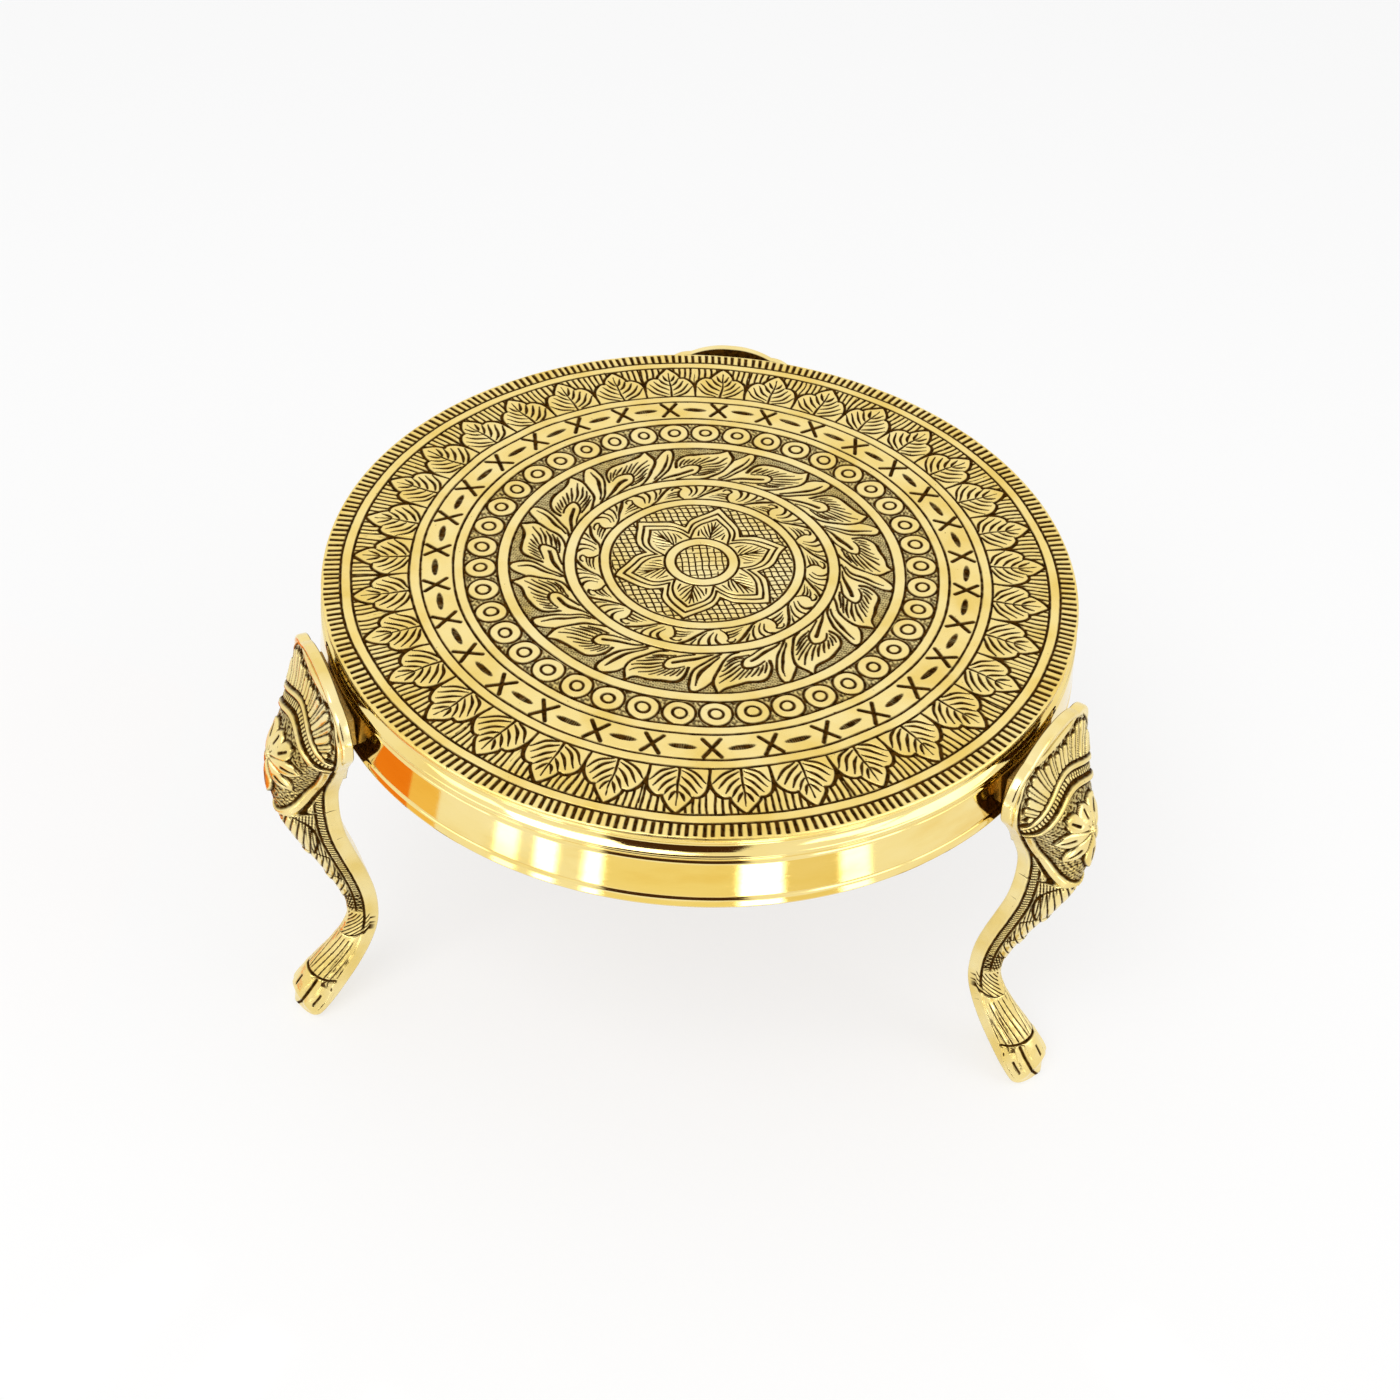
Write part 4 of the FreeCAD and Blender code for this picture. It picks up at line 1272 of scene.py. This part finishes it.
def chase_foot(work):
    """Ankle leaf, tendons down the foot, then three toes with nail slits."""
    side, down, inner = work.side, work.down, work.inner
    ankle = within(down, ANKLE_START, ANKLE_END)
    lobe = LOBE_WIDE * np.sqrt(np.clip(1 - ((down - LOBE_START) / LOBE_TALL) ** 2, 0, 1))
    scales = lines(LOBE_LEANS[0] * down + LOBE_LEANS[1] * side, *LOBE_LINES) * smooth(*LOBE_LINE_START, side)
    work.carve(ankle * smooth(*LOBE_EDGE, lobe - side) * scales)
    work.carve(ankle * line_at(side - lobe, LOBE_OUTLINE_WIDTH))
    tendon = within(down, TENDON_START, TENDON_END) * smooth(*TENDON_SIDE, inner)
    spread = work.across / np.maximum(work.edge, 1.0) * TENDON_COUNT
    spread = spread + TENDON_SPREAD * (down - TENDON_TOP) * np.sign(work.across)
    work.carve(tendon * lines(spread, *TENDON_LINES) * TENDON_DEPTH)
    paw = smooth(*PAW_START, down)
    toe = np.abs(side - work.edge * TOE_SHARE)
    work.carve(paw * line_at(toe, TOE_LINE_WIDTH))
    work.raised += paw * TOE_RAISE * (smooth(*TOE_RAISE_LIMITS, toe) - TOE_SINK)
    line = line_at(down - PAW_LINE + PAW_LINE_BEND * side ** 2, PAW_LINE_WIDTH)
    work.carve(line * smooth(*PAW_LINE_SIDE, inner))
    for share in NAIL_SHARES:
        work.carve(line_at(side - work.edge * share, NAIL_WIDTH) * within(down, NAIL_START, NAIL_END))


LEG_WEAR, LEG_WEAR_RIPPLE = 0.15, (2.7, 107)
LEG_PIT_LIMITS, LEG_PIT_RIPPLE, LEG_PIT_DEPTH, LEG_PIT_STAIN = (1.7, 2.2), (1.2, 109), 0.1, 0.5
LEG_ROLLING, LEG_ROLLING_RIPPLE = 0.03, (5.0, 111)
LEG_CUT_DEPTH = 0.45
LEG_RAISE = 0.9


def leg_relief(across, down, edge):
    """Height and patina of the leg's front, at places across from the crest and down, with its edge."""
    work = Chasing(across, down, edge)
    chase_border(work)
    chase_palmette(work)
    chase_ladder(work)
    closed, field = chase_medallion(work)
    chase_rosette(work, field)
    chase_shin(work, closed)
    chase_foot(work)
    cut = work.cut * (1 - LEG_WEAR + LEG_WEAR * ripple(across, down, *LEG_WEAR_RIPPLE).clip(-1, 1))
    pits = smooth(*LEG_PIT_LIMITS, ripple(across, down, *LEG_PIT_RIPPLE))
    rolling = LEG_ROLLING * ripple(across, down, *LEG_ROLLING_RIPPLE)
    height = -LEG_CUT_DEPTH * cut + work.raised * LEG_RAISE + rolling - LEG_PIT_DEPTH * pits
    return height, np.clip(cut + LEG_PIT_STAIN * pits, 0, 1)


TOE_THINNEST = 0.03
TOE_DEPTH_LEFT = 0.65
CHEEK_THINNING, CHEEK_THINNING_LIMITS = 0.6, (146.0, 156.0)
ARC_STEPS = 80
RELIEF_SIDE_FADE, RELIEF_TOP_FADE, RELIEF_TOE_FADE = 0.8, 1.5, 2.0
BACK_ROUND = 0.9
BACK_ROUND_SHARES = ((0.0, 1.0), (0.3, 0.3), (1.0, 0.0))
BACK_FILL = 0.8


def turned(radial, across, azimuth):
    """Place in the plane of a distance from the axis and a way across it, at an azimuth in degrees."""
    turn = math.radians(azimuth)
    return (radial * math.cos(turn) - across * math.sin(turn),
            radial * math.sin(turn) + across * math.cos(turn))


def leg_shaft(azimuth):
    """The leg from head to toe as one closed surface whose front carries the relief."""
    s, out, down, normal, half, depth = leg_tables()
    toe = np.clip(s - s[-1] + TOE_ROUND, 0, None) / TOE_ROUND
    tip = np.sqrt(np.clip(1 - toe ** 2, TOE_THINNEST, 1))
    half = half * tip
    depth = depth * (TOE_DEPTH_LEFT + (1 - TOE_DEPTH_LEFT) * tip)
    cheek = np.minimum(CHEEK_THICKNESS, depth / 2) * (1 - CHEEK_THINNING * smooth(*CHEEK_THINNING_LIMITS, s))
    crown = depth - cheek
    turn = np.linspace(0, math.pi / 2, ARC_STEPS)
    steps = np.hypot(np.diff(half[:, None] * np.sin(turn), axis=1),
                     np.diff(crown[:, None] * np.cos(turn), axis=1))
    arc = np.concatenate([np.zeros((len(s), 1)), np.cumsum(steps, axis=1)], axis=1)
    edge = np.repeat(arc[:, -1:], LEG_COLUMNS, 1)
    a = edge * np.linspace(-1, 1, LEG_COLUMNS)
    angle = np.sign(a) * np.array([np.interp(np.abs(a[i]), arc[i], turn) for i in range(len(s))])
    length = np.repeat(s[:, None], LEG_COLUMNS, 1)
    height, patina = leg_relief(a, length, edge)
    height = height * (smooth(0.0, RELIEF_SIDE_FADE, edge - np.abs(a)) * smooth(0, RELIEF_TOP_FADE, length)
                       * smooth(0, RELIEF_TOE_FADE, s[-1] - length))
    lean_x = crown[:, None] * np.sin(angle)
    lean_d = half[:, None] * np.cos(angle)
    size = np.maximum(np.hypot(lean_x, lean_d), TINY)
    face_x = half[:, None] * np.sin(angle) + height * lean_x / size
    face_d = cheek[:, None] + crown[:, None] * np.cos(angle) + height * lean_d / size
    back_x = np.stack([half - BACK_ROUND * inward for inward, _ in BACK_ROUND_SHARES], 1)
    back_d = np.stack([np.full_like(half, BACK_ROUND * up) for _, up in BACK_ROUND_SHARES], 1)
    fill = np.linspace(BACK_FILL, -BACK_FILL, BACK_COLUMNS)
    loop_x = np.concatenate([face_x, back_x, half[:, None] * fill, -back_x[:, ::-1]], axis=1)
    loop_d = np.concatenate([face_d, back_d, np.zeros((len(s), BACK_COLUMNS)), back_d[:, ::-1]], axis=1)
    columns = loop_x.shape[1]
    z = np.maximum(-down[:, None] + normal[:, 1:] * loop_d, -SOLE_DROP)
    x, y = turned(LEG_BACK_RADIUS + out[:, None] + normal[:, :1] * loop_d, loop_x, azimuth)
    values = np.concatenate([patina, np.zeros((len(s), columns - LEG_COLUMNS))], axis=1).ravel()
    caps = np.array([np.arange(columns), (len(s) * columns - 1) - np.arange(columns)])
    return np.stack([x, y, z], -1).reshape(-1, 3), grid_faces(len(s), columns, True), caps, values


CROWN_STEPS, SHOULDER_STEPS, FLANK_STEPS = 24, 20, 8


def arc_through(p, q, r, count):
    """Points of the arc from p to r by way of q."""
    p, q, r = np.array(p), np.array(q), np.array(r)
    chords = np.array([q - p, r - p])
    centre = p + np.linalg.solve(chords, (chords ** 2).sum(1) / 2)
    start, end = [math.atan2(y, x) for x, y in (p - centre, r - centre)]
    radius = math.hypot(*(p - centre))
    turn = (end - start + math.pi) % (2 * math.pi) - math.pi
    return [tuple(centre + flat(radius, start + turn * t)) for t in np.linspace(0, 1, count)]


def head_outline():
    """Points round the head plate, going from the waist up one side and down the other."""
    def place(share):
        return share[0] * HEAD_WIDTH / 2, -share[1] * LEG_HEIGHT

    cusp, corner = place(CUSP_SHARE), place(SHOULDER_SHARE)
    crown = arc_through((0.0, 0.0), place(ARCH_MID_SHARE), cusp, CROWN_STEPS)
    shoulder = arc_through(cusp, place(SHOULDER_TOP_SHARE), corner, SHOULDER_STEPS)
    flank = [tuple(p) for p in curve_points([corner] + [place(p) for p in FLANK_SHARES], FLANK_STEPS)]
    right = crown + shoulder[1:] + flank[1:]
    return np.array(right + [(-x, y) for x, y in reversed(right[1:])])


HEAD_MIDDLE_SHARE = 0.10
HEAD_ROUND, HEAD_BACK_ROUND = 1.1, 0.5
HEAD_FRONT_SHARES, HEAD_BACK_SHARES = (0.02, 0.5, 0.8), (0.5, 0.02)
# Patina values of the last rings, round the back of the plate's edge and over its back: painted shade for the
# dark gap between the plate and the drum wall.
HEAD_BACK_PAINTED_SHADE = (0.0, 0.25, 0.6, 0.9, 1.0, 1.0, 1.0)
HEAD_FRONT_ARC, HEAD_BACK_ARC = (0, 90, 6), (90, 0, 5)


def head_plate_points(azimuth):
    """Rounded plate behind the leg's head: rings of points from its middle to its edge, front and back."""
    outline = head_outline()
    count = len(outline)
    middle = np.array([0.0, -HEAD_MIDDLE_SHARE * LEG_HEIGHT])
    along = np.roll(outline, 1, 0) - np.roll(outline, -1, 0)
    inward = np.stack([along[:, 1], -along[:, 0]], -1)
    inward /= np.maximum(np.linalg.norm(inward, axis=1, keepdims=True), TINY)
    if np.sign(((middle - outline) * inward).sum(1)).mean() <= 0:
        inward = -inward
    rings = [(middle + (outline - middle) * share, HEAD_THICKNESS) for share in HEAD_FRONT_SHARES]
    for t in np.radians(np.linspace(*HEAD_FRONT_ARC)):
        rings.append((outline + inward * HEAD_ROUND * (1 - math.sin(t)),
                      HEAD_THICKNESS - HEAD_ROUND * (1 - math.cos(t))))
    for t in np.radians(np.linspace(*HEAD_BACK_ARC)):
        rings.append((outline + inward * HEAD_BACK_ROUND * (1 - math.sin(t)),
                      HEAD_BACK_ROUND * (1 - math.cos(t))))
    rings += [(middle + (outline - middle) * share, 0.0) for share in HEAD_BACK_SHARES]
    points = [np.stack([*turned(LEG_BACK_RADIUS + depth, ring[:, 0], azimuth), ring[:, 1]], -1)
              for ring, depth in rings]
    rows = len(rings)
    faces = grid_faces(rows, count, True)[:, ::-1]
    caps = np.array([np.arange(count)[::-1], (rows - 1) * count + np.arange(count)])
    # The back of the edge and the back face carry painted shade through the patina values.
    values = np.repeat([0.0] * (rows - len(HEAD_BACK_PAINTED_SHADE)) + list(HEAD_BACK_PAINTED_SHADE), count)
    return np.vstack(points), faces, caps, values


BOSS_INSET = 1.0
BOSS_SIZE = (34.0, 11.0)
BOSS_ROUND = 0.6


def make_leg(leg, azimuth, engraved, dark):
    """One leg: its casting, its head plate and the boss behind that."""
    points, faces, caps, values = leg_shaft(azimuth)
    shaft = make_object("leg_casting_" + leg, points, [faces, caps], engraved, values=values)
    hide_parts("leg_" + leg)
    # The plate's back is darkened by painted shade held in its patina values.
    points, faces, caps, values = head_plate_points(azimuth)
    plate = make_object("leg_head_" + leg, points, [faces, caps], engraved, values=values)
    wide, tall = BOSS_SIZE
    low = (TOP_RADIUS + BOSS_INSET, -wide / 2, -PAD_DROP - tall / 2)
    high = (LEG_BACK_RADIUS + HEAD_THICKNESS / 2, wide / 2, -PAD_DROP + tall / 2)
    boss = rounded_block("leg_boss_" + leg, low, high, BOSS_ROUND, azimuth, dark)


# Stage, light and camera

FLOOR_COLOUR = (0.97, 0.97, 0.97)
FLOOR_ROUGHNESS = 0.9
FLOOR_GLOW_SHARE = 0.65
FLOOR_SIZE = 40.0
FLOOR_GAP = 0.05


def seen_directly(tree):
    """1 for what the camera and mirrors see, 0 for the light that spreads."""
    path = new_node(tree, "LightPath")
    seen = new_node(tree, "Math", operation="MAXIMUM")
    link(tree, path, "Is Camera Ray", seen, 0)
    link(tree, path, "Is Glossy Ray", seen, 1)
    return seen


def blend_surface(tree, share, first, second, output):
    """Puts a mix of two shaders on the tree's output."""
    mix = new_node(tree, "MixShader")
    link(tree, share, "Value", mix, "Fac")
    link(tree, first, 0, mix, 1)
    link(tree, second, 0, mix, 2)
    link(tree, mix, 0, tree.nodes[output], "Surface")


def make_stage():
    """Pale floor that glows a little to the camera and to mirrors."""
    material, tree, shader = node_setup("pale_floor")
    set_values(shader, [("Base Color", (*FLOOR_COLOUR, 1)), ("Roughness", FLOOR_ROUGHNESS)])
    part = new_node(tree, "Math", [(1, FLOOR_GLOW_SHARE)], operation="MULTIPLY")
    link(tree, seen_directly(tree), "Value", part, 0)
    blend_surface(tree, part, shader, new_node(tree, "Emission"), "Material Output")
    bpy.ops.mesh.primitive_plane_add(size=FLOOR_SIZE, location=(0, 0, -(SOLE_DROP + FLOOR_GAP) * MM))
    floor = bpy.context.object
    floor.name = "floor"
    floor.data.materials.append(material)


def reflection_card(name, corners, colour, strength):
    """Flat glowing card that only mirrors see, from four corners in millimetres."""
    mesh = bpy.data.meshes.new(name)
    mesh.from_pydata([Vector(corner) * MM for corner in corners], [], [(0, 1, 2, 3)])
    material, _, shader = node_setup(name)
    set_values(shader, [("Base Color", (*BLACK, 1)), ("Specular IOR Level", 0.0),
                        ("Emission Color", (*colour, 1)), ("Emission Strength", strength)])
    mesh.materials.append(material)
    card = bpy.data.objects.new(name, mesh)
    bpy.context.scene.collection.objects.link(card)
    card.visible_camera = False
    card.visible_diffuse = False
    card.visible_shadow = False


# Cards on the floor that the wall mirrors: from azimuth, to azimuth, colour and strength
CARD_SPAN = (226.0, 350.0)
CARD_LIFT = 1.0
FLOOR_CARDS = {
    "card_orange": (160.0, 204.0, (1.0, 0.28, 0.02), 0.9),
    "card_amber": (204.0, 213.0, (1.0, 0.66, 0.2), 0.95),
    "card_pale_far_left": (229.0, 234.5, (1.0, 1.0, 0.95), 3.0),
    "card_white_left": (239.0, 244.0, (1.0, 1.0, 1.0), 4.0),
    "card_white_middle": (250.5, 254.5, (1.0, 1.0, 1.0), 4.0),
    "card_gold_middle": (254.5, 285.0, (1.0, 0.90, 0.55), 0.95),
    "card_white_right": (285.0, 294.5, (1.0, 1.0, 1.0), 4.5),
    "card_gold_right": (294.5, 308.0, (1.0, 0.86, 0.48), 0.9),
    "card_white_far_right": (308.0, 315.0, (1.0, 1.0, 0.95), 3.0),
}
# Dark card behind the camera that the cove mirrors: azimuths, distance and heights
DARK_CARD_SPAN = (253.0, 288.0)
DARK_CARD_DISTANCE = 900.0
DARK_CARD_HEIGHTS = (-150.0, 1100.0)
DARK_CARD_COLOUR = (0.06, 0.025, 0.01)
# Standing softboxes that give the legs their glints: from azimuth, to azimuth, heights and strength
SOFTBOX_DISTANCE = 800.0
SOFTBOXES = {
    "softbox_right": (304.0, 326.0, (150.0, 620.0), 2.6),
    "softbox_left": (204.0, 224.0, (150.0, 560.0), 2.2),
}


def on_circle(radius, turn, height):
    return radius * math.cos(math.radians(turn)), radius * math.sin(math.radians(turn)), height


def standing_corners(span, distance, heights):
    """Corners of an upright card between two azimuths."""
    places = zip(np.repeat(span, 2), heights + heights[::-1])
    return [on_circle(distance, turn, height) for turn, height in places]


def make_cards():
    """Everything that the polished wall and the legs mirror."""
    near, far = CARD_SPAN
    for name, (start, end, colour, strength) in FLOOR_CARDS.items():
        corners = [on_circle(radius, turn, -SOLE_DROP + CARD_LIFT)
                   for radius, turn in ((near, start), (far, start), (far, end), (near, end))]
        reflection_card(name, corners, colour, strength)
    dark = standing_corners(DARK_CARD_SPAN, DARK_CARD_DISTANCE, DARK_CARD_HEIGHTS)
    reflection_card("card_dark", dark, DARK_CARD_COLOUR, 1.0)
    for name, (start, end, heights, strength) in SOFTBOXES.items():
        reflection_card(name, standing_corners((start, end), SOFTBOX_DISTANCE, heights), WHITE, strength)


SKY_STRENGTH = 0.72
MIRRORED_SKY_STRENGTH = 1.0


def make_world():
    """White surroundings, brighter to the camera and to mirrors."""
    world = bpy.data.worlds.new("studio")
    bpy.context.scene.world = world
    world.use_nodes = True
    tree = world.node_tree
    sky = tree.nodes["Background"]
    mirrored = new_node(tree, "Background")
    for background, strength in ((sky, SKY_STRENGTH), (mirrored, MIRRORED_SKY_STRENGTH)):
        set_values(background, [("Color", (*WHITE, 1)), ("Strength", strength)])
    blend_surface(tree, seen_directly(tree), sky, mirrored, "World Output")


# Lamps: place, target and size in metres, and power in watts
LAMPS = {
    "key": ((-0.5, -0.9, 1.3), (0, 0, -0.03), (1.0, 1.0), 9.5),
    "fill": ((1.2, -0.3, 0.7), (0, 0, -0.05), (0.7, 1.0), 3.0),
}


def area_light(name, place, target, size, power):
    """Rectangular lamp at a place, turned to its target."""
    data = bpy.data.lights.new(name, "AREA")
    data.shape = "RECTANGLE"
    data.size, data.size_y = size
    data.energy = power
    lamp = bpy.data.objects.new(name, data)
    bpy.context.scene.collection.objects.link(lamp)
    lamp.location = place
    lamp.rotation_euler = (Vector(target) - Vector(place)).to_track_quat("-Z", "Y").to_euler()


CAMERA_CLIP = (0.01, 50.0)


def make_camera():
    """Camera that stands where the photograph's did."""
    place = CAMERA_DISTANCE * np.array([math.cos(CAMERA_AZIMUTH) * math.cos(CAMERA_ELEVATION),
                                        math.sin(CAMERA_AZIMUTH) * math.cos(CAMERA_ELEVATION),
                                        math.sin(CAMERA_ELEVATION)])
    forward = -place / np.linalg.norm(place)
    right = np.cross(forward, (0, 0, 1))
    right /= np.linalg.norm(right)
    level = np.array([right, np.cross(right, forward), forward])
    c, s = math.cos(CAMERA_ROLL), math.sin(CAMERA_ROLL)
    rolled = np.array([[c, -s, 0], [s, c, 0], [0, 0, 1]]) @ level
    aim = Vector((TOP_CENTRE_PIXEL[0] - PHOTO_SIZE / 2, PHOTO_SIZE / 2 - TOP_CENTRE_PIXEL[1], FOCAL_PIXELS))
    turn = np.array(Vector((0, 0, 1)).rotation_difference(aim).to_matrix())
    axes = turn @ rolled
    data = bpy.data.cameras.new("camera")
    data.sensor_width = SENSOR_WIDTH
    data.lens = FOCAL_PIXELS / PHOTO_SIZE * SENSOR_WIDTH
    data.clip_start, data.clip_end = CAMERA_CLIP
    camera = bpy.data.objects.new("camera", data)
    bpy.context.scene.collection.objects.link(camera)
    rotation = Matrix([[axes[0][i], axes[1][i], -axes[2][i]] for i in range(3)])
    camera.matrix_world = Matrix.Translation(place) @ rotation.to_4x4()
    bpy.context.scene.camera = camera


def main():
    bpy.context.scene.view_settings.view_transform = "Standard"
    engraved = engraved_brass("engraved_brass", TOP_ROUGHNESS, RIM_WARMTH)
    leg_brass = engraved_brass("leg_brass", LEG_ROUGHNESS)
    polished = polished_brass("polished_brass")
    cast = cast_brass("cast_brass")
    steel = screw_steel("screw_steel")
    make_drum(engraved, polished, cast)
    for leg, azimuth in LEG_AZIMUTHS.items():
        make_leg(leg, azimuth, leg_brass, cast)
    for name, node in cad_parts.items():
        if "screw" in name or "washer" in name:
            node.data.materials.clear()
            node.data.materials.append(steel)
    make_stage()
    make_cards()
    make_world()
    for name, lamp in LAMPS.items():
        area_light(name, *lamp)
    make_camera()


main()
